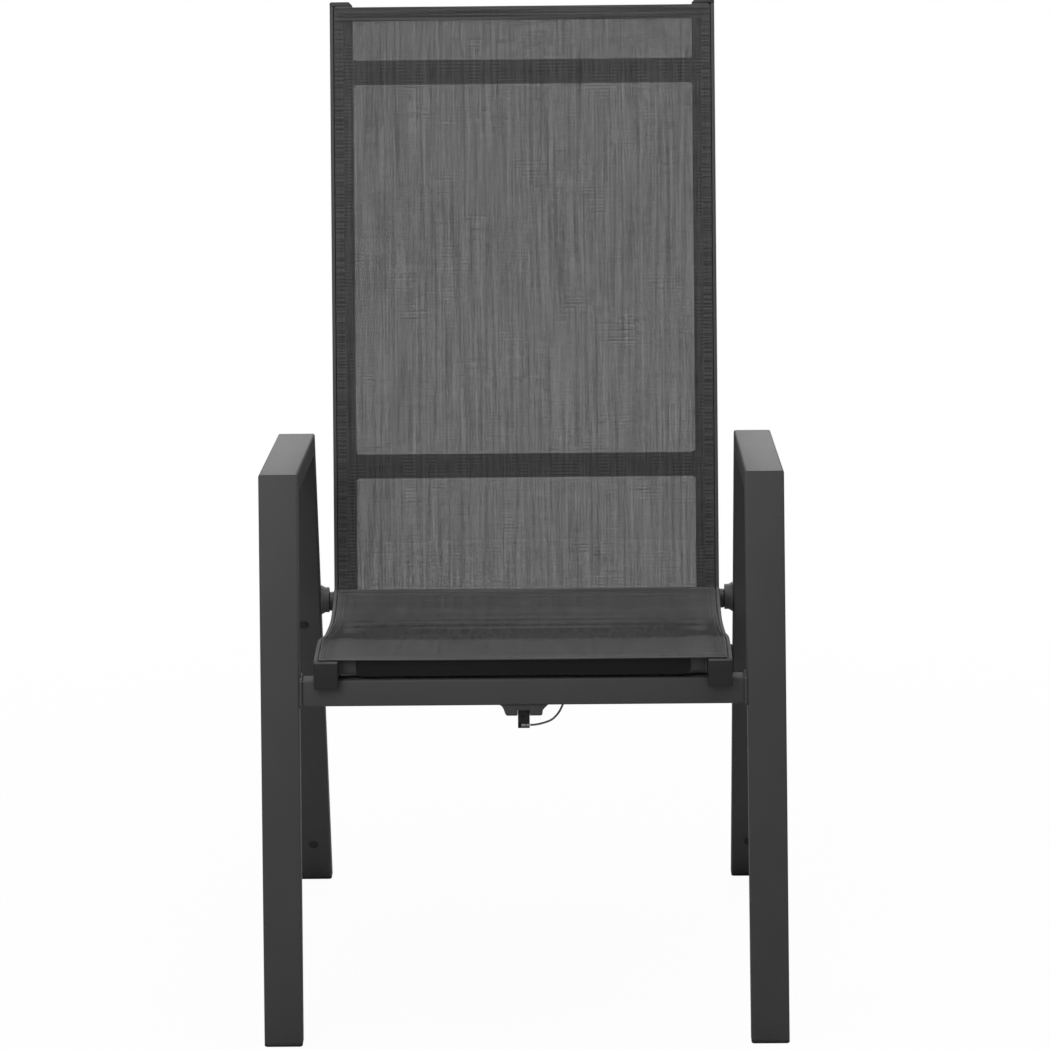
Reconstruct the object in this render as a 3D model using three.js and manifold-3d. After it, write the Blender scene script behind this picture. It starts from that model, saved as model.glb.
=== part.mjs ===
// A reclining sling patio chair: mitred side frames of rectangular aluminium tube, a tall back and a seat of
// stretched mesh in grooved rails, and a locking gas spring under the seat that holds the back where it is put.
// Millimetres. X to the viewer's right, Y from the front to the rear, Z up, with the floor at zero.
import * as THREE from "three";
import { mergeVertices } from "three/addons/utils/BufferGeometryUtils.js";
import Module from "manifold-3d";

const wasm = await Module();
wasm.setup();

// Side frames
const ARM_FRONT_HEIGHT = 657;
const ARM_REAR_HEIGHT = 632;
const ARM_LENGTH = 372;
const FRAME_DEPTH = 705;
const FRAME_INNER_WIDTH = 491;
const LEG_SPLAY = 7;
const TUBE_WIDTH = 43;
const TUBE_DEPTH = 25;
const TUBE_WALL = 1.8;
const TUBE_CORNER = 2.2;

// Clearances: the slit between fitted pieces, the play of a turning joint, and the slit of a sliding one
const SLIT = 0.3;
const PLAY = 0.4;
const SLIDE_SLIT = 1.2;
const OVERCUT = 5;

// Foot caps and the plugs of the rear legs
const FOOT_HEIGHT = 4;
const FOOT_BEVEL = 1.2;
const FOOT_PLUG_LENGTH = 18;
const PLUG_HEAD_RADIUS = 6;
const PLUG_HEAD_HEIGHT = 1.2;
const PLUG_STEM_RADIUS = 4;
const PLUG_STEM_LENGTH = 5;
const UPPER_PLUG_HEIGHT = 377;
const LOWER_PLUG_HEIGHT = 54;

// Crossbars of the frame
const CROSSBAR_TOP = 424;
const CROSSBAR_HEIGHT = 30;
const CROSSBAR_SETBACK = 2;
const REAR_BAR_BELOW_PIVOT = 88;
const REAR_BAR_WIDTH = 30;
const REAR_BAR_DEPTH = 20;

// Sling rails: one extrusion for the back and the seat
const RAIL_WIDTH = 27;
const RAIL_DEPTH = 20;
const RAIL_WALL = 1.8;
const RAIL_CORNER = 1.5;
const GROOVE_FROM_EDGE = 5.5;
const GROOVE_RADIUS = 3.4;
const GROOVE_MOUTH = 2.6;
const GROOVE_LIP = 2;
const BEAD_RADIUS = 2.4;
const SLING_THICKNESS = 1.3;

// Back
const PIVOT_HEIGHT = 406;
const BACK_LEAN_DEGREES = 12;
const BACK_ABOVE_PIVOT = 716;
const BACK_BELOW_PIVOT = 96;
const UPPER_BAR_UP = 637;
const LOWER_BAR_UP = 162;
const BACK_BAR_WIDTH = 29;
const BACK_BAR_DEPTH = 14;
const BACK_BAR_WALL = 1.6;
const BACK_BAR_CORNER = 3;
const BACK_SLING_BELOW_TOP = 1.5;
const BACK_SLING_BELOW_PIVOT = 10;
const BACK_BEAD_ABOVE_PIVOT = 5;
const RAIL_CAP_HEIGHT = 5;
const RAIL_CAP_CHAMFER = 4;
const RAIL_CAP_PLUG = 14;
const BOTTOM_BAR_DOWN = 80;
const BOTTOM_BAR_WIDTH = 25;

// Seat: the line of the rails' upper edge, seen from the side
const SEAT_FRONT = -4;
const SEAT_TO_BACK = 10.3;
const GLIDE_ROOM = 4.7;
const SEAT_LOW_OVER_PIVOT = 2.4;
const SEAT_LINE_SHARES = [
  [0, 0.035],
  [0.05, 0.004],
  [0.2, 0.01],
  [0.33, 0.25],
  [0.485, 0.6],
  [0.65, 0.85],
  [0.79, 1],
  [0.87, 0.975],
  [0.935, 0.82],
  [1, 0.6],
];
const SEAT_STATIONS = 22;
const SEAT_SLING_END = 2.5;
const FRONT_TUBE_AT = 16;
const FRONT_TUBE_DEPTH = 20;
const FRONT_TUBE_HEIGHT = 17;
const MIDDLE_BAR_TO_END = 223;
const REAR_BAR_TO_END = 78;
const SEAT_BAR_WIDTH = 24;
const SEAT_BAR_DEPTH = 12;
const SEAT_BAR_WALL = 1.5;
const BAR_BELOW_SLING = 7.5;
const STRIP_INSET = 19.5;
const STRIP_THICKNESS = 2;
const STRIP_CORNER = 7;
const STRIP_LAP = 2.4;
const NOSE_THICKNESS = 6;
const NOSE_HEIGHT = 31;
const NOSE_BEVEL = 1.2;
const NOSE_HOOK_DEPTH = 7;
const GLIDE_LENGTH = 24;
const GLIDE_SKIRT = 6;
const GLIDE_SKIRT_THICKNESS = 2;

// Seat hinge: plates on the seat rails, pinned to the lower ends of the back rails
const HINGE_DOWN = 40;
const HINGE_PLATE_THICKNESS = 4;
const HINGE_PLATE_RADIUS = 12;
const HINGE_PLATE_TAIL_RADIUS = 7.5;
const HINGE_PLATE_REACH = 52;
const HINGE_PIN_RADIUS = 4;
const HINGE_HEAD_RADIUS = 7;
const HINGE_HEAD_THICKNESS = 3;

// Pivots of the back on the rear legs
const LUG_THICKNESS = 10;
const LUG_RADIUS = 13.5;
const LUG_RISE = 4;
const LUG_FOOT = 3;
const BUSH_RADIUS = 11.5;
const BUSH_THICKNESS = 5.2;
const BOLT_RADIUS = 4;
const BOLT_HEAD_RADIUS = 7;
const BOLT_HEAD_THICKNESS = 4.5;
const BOLT_GRIP_IN_LUG = 7;
const RAIL_WASHER_SLIT = 0.9;

// Gas spring under the seat
const SPRING_BEHIND_CROSSBAR = 7;
const SPRING_BELOW_CROSSBAR = 10;
const SPRING_REAR_REACH = 26;
const SPRING_PIN_RADIUS = 3;
const SPRING_REAR_PLAY = 3.4;
const CHEEK_THICKNESS = 3;
const CHEEK_RADIUS = 9;
const BRACKET_PLATE = 3;
const BRACKET_TOP_WIDTH = 52;
const BRACKET_LOW_WIDTH = 40;
const BRACKET_DROP = 10.5;
const NOTCH_HEIGHT = 4.4;
const HEAD_WIDTH = 13;
const HEAD_FRONT = 9;
const HEAD_BACK = 18;
const HEAD_TOP = 6.5;
const HEAD_BOTTOM = 8;
const HEAD_FOOT_DROP = 22.5;
const HEAD_FOOT_BACK = 5;
const SLOT_WIDTH = 5;
const SLOT_TOP = 6;
const SLOT_END_WALL = 3.5;
const ROCKER_ASIDE = 1.5;
const ROCKER_PIN_DROP = 9.6;
const ROCKER_PIN_RADIUS = 1.5;
const ROCKER_HUB_RADIUS = 2.8;
const ROCKER_LENGTH = 9.5;
const ROCKER_TIP_RADIUS = 2.2;
const FERRULE_RADIUS = 2.1;
const FERRULE_LENGTH = 11.4;
const FERRULE_SETBACK = 1.2;
const FERRULE_DROP = 19;
const ROD_RADIUS = 4;
const ROD_SEAT = 9;
const ROD_LENGTH = 118;
const ROD_VISIBLE = 62;
const CYLINDER_RADIUS = 11;
const CYLINDER_BORE_LENGTH = 118;
const CYLINDER_NECK = 12;
const CYLINDER_TAIL = 44;
const EYE_WIDTH = 12;
const EYE_WALL = 4.6;
const TAIL_RADIUS = 5;

// Release lever under the armrest, its housing and its cable
const LEVER_BEHIND_LEG = 38;
const HOUSING_WIDTH = 27;
const HOUSING_FRONT = 24;
const HOUSING_BACK = 14;
const HOUSING_DROP = 19;
const HOUSING_PLATE = 3;
const LEVER_PIN_DROP = 11;
const LEVER_PIN_RADIUS = 2;
const LEVER_WIDTH = 19;
const LEVER_HUB_RADIUS = 5.5;
const LEVER_LENGTH = 88;
const LEVER_TIP_DROP = 13;
const LEVER_TIP_RADIUS = 3;
const CABLE_ENTRY_DROP = 13;
const CABLE_RADIUS = 1.2;
const CABLE_SIDES = 8;
const CABLE_STEPS = 72;
const CLIP_WIDTH = 8;
const CLIP_WALL = 1.4;
const CLIP_FLANGE = 7;

// The cable's route, from the release rocker to the lever's housing
const CABLE_ROUTE = [
  [7, 23.9, 366],
  [12, 24, 366.2],
  [20, 24.4, 367.6],
  [31, 25.2, 371.5],
  [38.8, 27, 379],
  [43.2, 28.9, 387],
  [47, 29.6, 394.5],
  [56, 29.5, 401.5],
  [70, 29.2, 405],
  [90, 29.2, 406],
  [135, 29.2, 406],
  [180, 29.2, 406],
  [225, 29.2, 406],
  [246, 28.8, 408.5],
  [261, 28, 420],
  [267.5, 27.4, 440],
  [268.3, 27.2, 480],
  [267.9, 27.2, 530],
  [267.4, 27.2, 575],
  [267.3, 27.5, 598],
  [267.3, 31, 612],
  [267.3, 34.6, 615.5],
  [267.3, 38, 616.3],
  [267.3, 41, 616.2],
];

const ROUND_SIDES = 20;
const SMALL_ROUND_SIDES = 12;
const CORNER_STEPS = 2;
const GROOVE_STEPS = 8;

const SIDES = { left: -1, right: 1 };
const radians = THREE.MathUtils.degToRad;
const point = (x, y, z) => new THREE.Vector3(x, y, z);
const spot = (u, v) => new THREE.Vector2(u, v);
const ALONG_X = point(1, 0, 0);
const ALONG_Y = point(0, 1, 0);
const ALONG_Z = point(0, 0, 1);

// Finishes, a new one for each piece
const coat = () => new THREE.MeshStandardMaterial({ color: 0x45474a, roughness: 0.55, metalness: 0.25 });
const mesh = () => new THREE.MeshStandardMaterial({ color: 0x3b3c3e, roughness: 0.85, metalness: 0 });
const plastic = () => new THREE.MeshStandardMaterial({ color: 0x1d1e1f, roughness: 0.6, metalness: 0 });
const steel = () => new THREE.MeshStandardMaterial({ color: 0xb9bbbd, roughness: 0.3, metalness: 0.9 });
const casing = () => new THREE.MeshStandardMaterial({ color: 0x8b8d8f, roughness: 0.5, metalness: 0.1 });

// Geometry with shared corners and nothing but positions
function bare(geometry) {
  const copy = geometry.clone();
  copy.deleteAttribute("normal");
  copy.deleteAttribute("uv");
  return mergeVertices(copy);
}

function solid(geometry) {
  const merged = bare(geometry);
  const vertProperties = new Float32Array(merged.attributes.position.array);
  const triVerts = new Uint32Array(merged.index.array);
  return new wasm.Manifold(new wasm.Mesh({ numProp: 3, vertProperties, triVerts }));
}

function geometryOf(body) {
  const result = body.getMesh();
  const geometry = new THREE.BufferGeometry();
  geometry.setAttribute("position", new THREE.BufferAttribute(result.vertProperties, 3));
  geometry.setIndex(new THREE.BufferAttribute(result.triVerts, 1));
  return geometry;
}

const join = (first, ...others) =>
  geometryOf(others.reduce((body, other) => body.add(solid(other)), solid(first)));
const cut = (first, ...tools) =>
  geometryOf(tools.reduce((body, tool) => body.subtract(solid(tool)), solid(first)));

// Twice three times the signed volume: below zero when the faces point inwards
function signedVolume(positions, index) {
  let sum = 0;
  for (let i = 0; i < index.length; i += 3) {
    const [a, b, c] = [index[i], index[i + 1], index[i + 2]].map((k) => point(...positions.slice(3 * k, 3 * k + 3)));
    sum += a.dot(b.cross(c));
  }
  return sum;
}

function outward(positions, index) {
  const turned = [];
  for (let i = 0; i < index.length; i += 3) turned.push(index[i], index[i + 2], index[i + 1]);
  const geometry = new THREE.BufferGeometry();
  geometry.setAttribute("position", new THREE.Float32BufferAttribute(positions, 3));
  geometry.setIndex(signedVolume(positions, index) < 0 ? turned : index);
  return geometry;
}

// A closed skin over rings of corners, with a flat lid at both ends; the hole, where there is one, runs through
function skin(outline, rings, hole = [], holeRings = []) {
  const positions = [];
  rings.forEach((ring, k) => {
    [...ring, ...(holeRings[k] ?? [])].forEach((corner) => positions.push(corner.x, corner.y, corner.z));
  });
  const count = outline.length + hole.length;
  const index = [];
  const addFace = (a, b, c, turned) => (turned ? index.push(a, c, b) : index.push(a, b, c));
  const addWall = (first, size, turned) => {
    for (let k = 0; k + 1 < rings.length; k += 1) {
      for (let i = 0; i < size; i += 1) {
        const here = k * count + first + i;
        const next = k * count + first + ((i + 1) % size);
        addFace(here, next, next + count, turned);
        addFace(here, next + count, here + count, turned);
      }
    }
  };
  addWall(0, outline.length, THREE.ShapeUtils.isClockWise(outline));
  if (hole.length) addWall(outline.length, hole.length, !THREE.ShapeUtils.isClockWise(hole));
  const last = (rings.length - 1) * count;
  THREE.ShapeUtils.triangulateShape([...outline], hole.length ? [[...hole]] : []).forEach(([a, b, c]) => {
    addFace(a, b, c, true);
    addFace(last + a, last + b, last + c, false);
  });
  return outward(positions, index);
}

// A rectangle with rounded corners, round its own middle
function roundedOutline(width, depth, radius, steps = CORNER_STEPS) {
  const corners = [];
  for (let quarter = 0; quarter < 4; quarter += 1) {
    const middle = (quarter * Math.PI) / 2;
    const u = (width / 2 - radius) * (quarter === 0 || quarter === 3 ? 1 : -1);
    const v = (depth / 2 - radius) * (quarter < 2 ? 1 : -1);
    for (let i = 0; i <= steps; i += 1) {
      const angle = middle + (i / steps) * (Math.PI / 2);
      corners.push(spot(u + radius * Math.cos(angle), v + radius * Math.sin(angle)));
    }
  }
  return corners;
}

const rectangle = (width, depth) => [
  spot(-width / 2, -depth / 2),
  spot(width / 2, -depth / 2),
  spot(width / 2, depth / 2),
  spot(-width / 2, depth / 2),
];

// A straight bar's axis: where it starts, and the directions of its section's width and depth
function axisOf(base, across, up) {
  return { base, across, up, along: across.clone().cross(up).normalize() };
}

// Where the edges of a straight bar meet a plane
function ringOn(outline, axis, plane) {
  return outline.map((corner) => {
    const start = axis.base
      .clone()
      .addScaledVector(axis.across, corner.x)
      .addScaledVector(axis.up, corner.y);
    const reach = plane.place.clone().sub(start).dot(plane.normal) / axis.along.dot(plane.normal);
    return start.addScaledVector(axis.along, reach);
  });
}

function barBetween(outline, hole, axis, first, last) {
  const ends = [first, last];
  return skin(
    outline,
    ends.map((plane) => ringOn(outline, axis, plane)),
    hole,
    hole.length ? ends.map((plane) => ringOn(hole, axis, plane)) : [],
  );
}

const level = (height) => ({ place: point(0, 0, height), normal: ALONG_Z });
const shifted = (plane, distance) => ({
  place: plane.place.clone().addScaledVector(plane.normal, distance),
  normal: plane.normal,
});

// Round and flat shapes in the place where they are wanted
function roundAlongX(radius, from, to, y, z, sides = ROUND_SIDES) {
  const shape = new THREE.CylinderGeometry(radius, radius, Math.abs(to - from), sides);
  return shape.rotateZ(Math.PI / 2).translate((from + to) / 2, y, z);
}

function boxBetween(low, high) {
  const size = high.clone().sub(low);
  const middle = high.clone().add(low).multiplyScalar(1 / 2);
  return new THREE.BoxGeometry(size.x, size.y, size.z).translate(middle.x, middle.y, middle.z);
}

// A flat plate in the side view, from an outline of (y, z) corners
function plateAlongX(outline, from, to) {
  const rings = [from, to].map((x) => outline.map((corner) => point(x, corner.x, corner.y)));
  return skin(outline, rings);
}

// The outline of a straight link with round ends of its own radii
function linkOutline(start, end, startRadius, endRadius, steps = SMALL_ROUND_SIDES / 2) {
  const heading = Math.atan2(end.y - start.y, end.x - start.x);
  const corners = [];
  for (let i = 0; i <= steps; i += 1) {
    const angle = heading + Math.PI / 2 + (i / steps) * Math.PI;
    corners.push(spot(start.x + startRadius * Math.cos(angle), start.y + startRadius * Math.sin(angle)));
  }
  for (let i = 0; i <= steps; i += 1) {
    const angle = heading - Math.PI / 2 + (i / steps) * Math.PI;
    corners.push(spot(end.x + endRadius * Math.cos(angle), end.y + endRadius * Math.sin(angle)));
  }
  return corners;
}

function mirrored(geometry, side) {
  if (side > 0) return geometry;
  const merged = bare(geometry);
  const positions = [...merged.attributes.position.array].map((value, i) => (i % 3 === 0 ? -value : value));
  return outward(positions, [...merged.index.array]);
}

// The side frames stand wider at the floor than at the armrests
const splayAt = (height) => (LEG_SPLAY * (ARM_FRONT_HEIGHT - height)) / ARM_FRONT_HEIGHT;
function splayed(geometry) {
  const merged = bare(geometry);
  const places = merged.attributes.position;
  for (let i = 0; i < places.count; i += 1) places.setX(i, places.getX(i) + splayAt(places.getZ(i)));
  return merged;
}

function addPiece(group, name, geometry, material) {
  const shown = geometry.index ? geometry.toNonIndexed() : geometry;
  shown.computeVertexNormals();
  const piece = new THREE.Mesh(shown, material);
  piece.name = name;
  group.add(piece);
}

function addPair(group, name, material, build) {
  Object.entries(SIDES).forEach(([word, side]) => {
    addPiece(group, `${word}_${name}`, mirrored(build(side), side), material());
  });
}

const chair = new THREE.Group();
const frame = new THREE.Group();
const back = new THREE.Group();
const seat = new THREE.Group();
const spring = new THREE.Group();
const lever = new THREE.Group();

// Directions in the side frames, and the planes of their mitres
const armSlope = Math.atan2(ARM_FRONT_HEIGHT - ARM_REAR_HEIGHT, ARM_LENGTH);
const legLean = Math.atan2(FRAME_DEPTH - ARM_LENGTH, ARM_REAR_HEIGHT);
const frontCorner = point(0, 0, ARM_FRONT_HEIGHT);
const rearCorner = point(0, ARM_LENGTH, ARM_REAR_HEIGHT);
const rearHeel = point(0, FRAME_DEPTH, 0);
const armWay = rearCorner.clone().sub(frontCorner).normalize();
const legWay = rearHeel.clone().sub(rearCorner).normalize();
const frontMitre = { place: frontCorner, normal: ALONG_Z.clone().add(armWay).normalize() };
const rearMitre = { place: rearCorner, normal: armWay.clone().add(legWay).normalize() };
const tubeMiddle = (FRAME_INNER_WIDTH + TUBE_WIDTH) / 2;
const tubeOutline = roundedOutline(TUBE_WIDTH, TUBE_DEPTH, TUBE_CORNER);
const tubeHole = rectangle(TUBE_WIDTH - 2 * TUBE_WALL, TUBE_DEPTH - 2 * TUBE_WALL);

// The middle line of a side tube whose outer face runs through a corner of the side view
function tubeAxis(corner, way) {
  const inward = ALONG_X.clone().cross(way).negate();
  const base = corner.clone().addScaledVector(inward, TUBE_DEPTH / 2).setX(tubeMiddle);
  return { base, across: ALONG_X, up: inward.clone().negate(), along: way };
}
const frontLegAxis = tubeAxis(point(0, 0, 0), ALONG_Z);
const armAxis = tubeAxis(frontCorner, armWay);
const rearLegAxis = tubeAxis(rearHeel, legWay);

function rearLegAt(height) {
  const reach = (height - rearLegAxis.base.z) / legWay.z;
  return rearLegAxis.base.clone().addScaledVector(legWay, reach);
}

const pivot = rearLegAt(PIVOT_HEIGHT).setX(0);
const backLean = radians(BACK_LEAN_DEGREES);

// A place of the upright back, given in its own directions, in the chair's
const fromBack = (y, z) => point(0, y, z).applyAxisAngle(ALONG_X, -backLean).add(pivot);

// From the leg inwards at the pivot: the lug, its bush, and the rails of the back and the seat
const lugOuter = FRAME_INNER_WIDTH / 2 + splayAt(PIVOT_HEIGHT) - SLIT;
const lugInner = lugOuter - LUG_THICKNESS;
const bushInner = lugInner - SLIT - BUSH_THICKNESS;
const railOuter = bushInner - RAIL_WASHER_SLIT;
const railInner = railOuter - RAIL_WIDTH;
const railMiddle = railOuter - RAIL_WIDTH / 2;

function rearPlugAxis(height) {
  const forward = rearLegAxis.up.clone().negate();
  const middle = rearLegAt(height - (forward.z * TUBE_DEPTH) / 2);
  return { face: middle.clone().addScaledVector(forward, TUBE_DEPTH / 2), forward };
}

// A round shape on the front face of a rear leg, from a depth inside the face to a height over it
function roundOnRearLeg(height, radius, inside, over) {
  const { face, forward } = rearPlugAxis(height);
  const shape = new THREE.CylinderGeometry(radius, radius, inside + over, SMALL_ROUND_SIDES);
  shape.applyQuaternion(new THREE.Quaternion().setFromUnitVectors(ALONG_Y, forward));
  const middle = face.clone().addScaledVector(forward, (over - inside) / 2);
  return shape.translate(middle.x, middle.y, middle.z);
}

function buildSideFrames() {
  const floorLine = level(FOOT_HEIGHT + SLIT);
  addPair(frame, "front_leg", coat, () =>
    splayed(barBetween(tubeOutline, tubeHole, frontLegAxis, floorLine, shifted(frontMitre, -SLIT / 2))),
  );
  addPair(frame, "armrest", coat, () =>
    splayed(
      barBetween(tubeOutline, tubeHole, armAxis, shifted(frontMitre, SLIT / 2), shifted(rearMitre, -SLIT / 2)),
    ),
  );
  addPair(frame, "rear_leg", coat, () => {
    const tube = barBetween(tubeOutline, tubeHole, rearLegAxis, shifted(rearMitre, SLIT / 2), floorLine);
    const holes = [UPPER_PLUG_HEIGHT, LOWER_PLUG_HEIGHT].map((height) =>
      roundOnRearLeg(height, PLUG_STEM_RADIUS + SLIT, TUBE_WALL + OVERCUT, OVERCUT),
    );
    return splayed(cut(tube, ...holes));
  });
  const plugHeights = { upper: UPPER_PLUG_HEIGHT, lower: LOWER_PLUG_HEIGHT };
  Object.entries(plugHeights).forEach(([word, height]) => {
    addPair(frame, `leg_plug_${word}`, plastic, () =>
      splayed(
        join(
          roundOnRearLeg(height, PLUG_HEAD_RADIUS, -SLIT, SLIT + PLUG_HEAD_HEIGHT),
          roundOnRearLeg(height, PLUG_STEM_RADIUS, PLUG_STEM_LENGTH, PLUG_HEAD_HEIGHT / 2),
        ),
      ),
    );
  });
}

// A cap under a leg: a bevelled sole, and a plug that fills the tube
function footCap(axis) {
  const sole = roundedOutline(TUBE_WIDTH - 2 * FOOT_BEVEL, TUBE_DEPTH - 2 * FOOT_BEVEL, TUBE_CORNER);
  const plugWidth = TUBE_WIDTH - 2 * TUBE_WALL - 2 * SLIT;
  const plugDepth = TUBE_DEPTH - 2 * TUBE_WALL - 2 * SLIT;
  const plug = roundedOutline(plugWidth, plugDepth, TUBE_CORNER / 2);
  const rings = [
    ringOn(sole, axis, level(0)),
    ringOn(tubeOutline, axis, level(FOOT_BEVEL)),
    ringOn(tubeOutline, axis, level(FOOT_HEIGHT)),
    ringOn(plug, axis, level(FOOT_HEIGHT)),
    ringOn(plug, axis, level(FOOT_HEIGHT + FOOT_PLUG_LENGTH)),
  ];
  return splayed(skin(sole, rings));
}

function buildFeet() {
  addPair(frame, "front_foot_cap", plastic, () => footCap(frontLegAxis));
  addPair(frame, "rear_foot_cap", plastic, () => footCap(rearLegAxis));
}

// The inner face of a splayed side frame, as a plane on one side
function innerFace(side) {
  const lean = LEG_SPLAY / ARM_FRONT_HEIGHT;
  const place = point(side * (FRAME_INNER_WIDTH / 2 + LEG_SPLAY - SLIT), 0, 0);
  return { place, normal: point(side, 0, lean).normalize() };
}

function buildCrossbars() {
  const middle = point(0, CROSSBAR_SETBACK + TUBE_DEPTH / 2, CROSSBAR_TOP - CROSSBAR_HEIGHT / 2);
  const frontAxis = axisOf(middle, ALONG_Y, ALONG_Z);
  addPiece(
    frame,
    "front_crossbar",
    barBetween(
      roundedOutline(TUBE_DEPTH, CROSSBAR_HEIGHT, TUBE_CORNER),
      rectangle(TUBE_DEPTH - 2 * TUBE_WALL, CROSSBAR_HEIGHT - 2 * TUBE_WALL),
      frontAxis,
      innerFace(SIDES.left),
      innerFace(SIDES.right),
    ),
    coat(),
  );
  const rearMiddle = rearLegAt(PIVOT_HEIGHT - REAR_BAR_BELOW_PIVOT).setX(0);
  const rearAxis = axisOf(rearMiddle, rearLegAxis.up.clone().negate(), legWay.clone().negate());
  addPiece(
    frame,
    "rear_crossbar",
    barBetween(
      roundedOutline(REAR_BAR_DEPTH, REAR_BAR_WIDTH, TUBE_CORNER),
      rectangle(REAR_BAR_DEPTH - 2 * TUBE_WALL, REAR_BAR_WIDTH - 2 * TUBE_WALL),
      rearAxis,
      innerFace(SIDES.left),
      innerFace(SIDES.right),
    ),
    coat(),
  );
}

// Pivots: a lug welded to the rear leg, a bush between lug and rail, and a bolt through the rail
function buildPivots() {
  const lugFoot = spot(pivot.y, pivot.z + LUG_RISE);
  const axle = spot(pivot.y, pivot.z);
  addPair(frame, "pivot_lug", coat, () => {
    const outline = linkOutline(axle, lugFoot, LUG_RADIUS, LUG_RADIUS);
    const base = linkOutline(axle, lugFoot, LUG_RADIUS + LUG_FOOT, LUG_RADIUS + LUG_FOOT);
    const waist = (lugOuter + lugInner) / 2;
    const rings = [
      [outline, lugInner],
      [outline, waist],
      [base, lugOuter],
    ].map(([corners, x]) => corners.map((corner) => point(x, corner.x, corner.y)));
    const hole = roundAlongX(BOLT_RADIUS + PLAY / 2, lugInner - OVERCUT, lugInner + BOLT_GRIP_IN_LUG, pivot.y, pivot.z);
    const blank = skin(outline, rings);
    const places = blank.attributes.position;
    for (let i = 0; i < places.count; i += 1) {
      const atLeg = places.getX(i) === Math.fround(lugOuter);
      if (atLeg) places.setX(i, lugOuter + splayAt(places.getZ(i)) - splayAt(PIVOT_HEIGHT));
    }
    return cut(blank, hole);
  });
  addPair(frame, "pivot_bush", plastic, () => {
    const ring = roundAlongX(BUSH_RADIUS, bushInner, lugInner - SLIT, pivot.y, pivot.z);
    return cut(ring, roundAlongX(BOLT_RADIUS + PLAY / 2, railInner, lugOuter, pivot.y, pivot.z));
  });
  addPair(frame, "pivot_bolt", steel, () => {
    const shank = roundAlongX(BOLT_RADIUS, railInner - SLIT - BOLT_HEAD_THICKNESS / 2,
      lugInner + BOLT_GRIP_IN_LUG - SLIT, pivot.y, pivot.z);
    const head = roundAlongX(BOLT_HEAD_RADIUS, railInner - SLIT - BOLT_HEAD_THICKNESS, railInner - SLIT, pivot.y, pivot.z);
    return join(head, shank);
  });
}

// The rails' section: width to the outer side, depth to the sling, with the groove near the outer edge
const grooveU = RAIL_WIDTH / 2 - GROOVE_FROM_EDGE;
const grooveV = RAIL_DEPTH / 2 - GROOVE_LIP - GROOVE_RADIUS;
function railOutline() {
  const [u, v] = [RAIL_WIDTH / 2, RAIL_DEPTH / 2];
  const corners = [
    spot(-u, -v + RAIL_CORNER),
    spot(-u + RAIL_CORNER, -v),
    spot(u - RAIL_CORNER, -v),
    spot(u, -v + RAIL_CORNER),
    spot(u, v - RAIL_CORNER),
    spot(u - RAIL_CORNER, v),
    spot(grooveU + GROOVE_MOUTH / 2, v),
  ];
  const opening = Math.asin(GROOVE_MOUTH / 2 / GROOVE_RADIUS);
  for (let i = 0; i <= GROOVE_STEPS; i += 1) {
    const angle = opening + (i / GROOVE_STEPS) * (2 * Math.PI - 2 * opening);
    corners.push(spot(grooveU + GROOVE_RADIUS * Math.sin(angle), grooveV + GROOVE_RADIUS * Math.cos(angle)));
  }
  corners.push(spot(grooveU - GROOVE_MOUTH / 2, v), spot(-u + RAIL_CORNER, v), spot(-u, v - RAIL_CORNER));
  return corners;
}

// The hollow of the rail: an angle that leaves the groove its own walls
function railHole() {
  const [u, v] = [RAIL_WIDTH / 2 - RAIL_WALL, RAIL_DEPTH / 2 - RAIL_WALL];
  const innerU = grooveU - GROOVE_RADIUS - RAIL_WALL;
  const innerV = grooveV - GROOVE_RADIUS - RAIL_WALL;
  return [spot(-u, -v), spot(u, -v), spot(u, innerV), spot(innerU, innerV), spot(innerU, v), spot(-u, v)];
}

// The sling's section: flat over both rails, with a lip into each groove down to the bead sewn along its edge
function slingOutline() {
  const groove = railMiddle + grooveU;
  const half = SLING_THICKNESS / 2;
  const low = RAIL_DEPTH / 2 + SLIT;
  const high = low + SLING_THICKNESS;
  const opening = Math.asin(half / BEAD_RADIUS);
  const beadAt = (centre) =>
    Array.from({ length: GROOVE_STEPS + 1 }, (_, i) => {
      const angle = opening + (i / GROOVE_STEPS) * (2 * Math.PI - 2 * opening);
      return spot(centre + BEAD_RADIUS * Math.sin(angle), grooveV + BEAD_RADIUS * Math.cos(angle));
    });
  return [
    spot(-groove - half, high),
    spot(groove + half, high),
    ...beadAt(groove),
    spot(groove - half, low),
    spot(-groove + half, low),
    ...beadAt(-groove),
  ];
}

const sideways = (corners, distance) => corners.map((corner) => spot(corner.x + distance, corner.y));

// Along the back, the sling's side faces forward
function alongBack(outline, from, to, hole = []) {
  const ringAt = (corners, z) => corners.map((corner) => point(corner.x, -corner.y, z));
  return skin(
    outline,
    [from, to].map((z) => ringAt(outline, z)),
    hole,
    hole.length ? [from, to].map((z) => ringAt(hole, z)) : [],
  );
}

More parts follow.
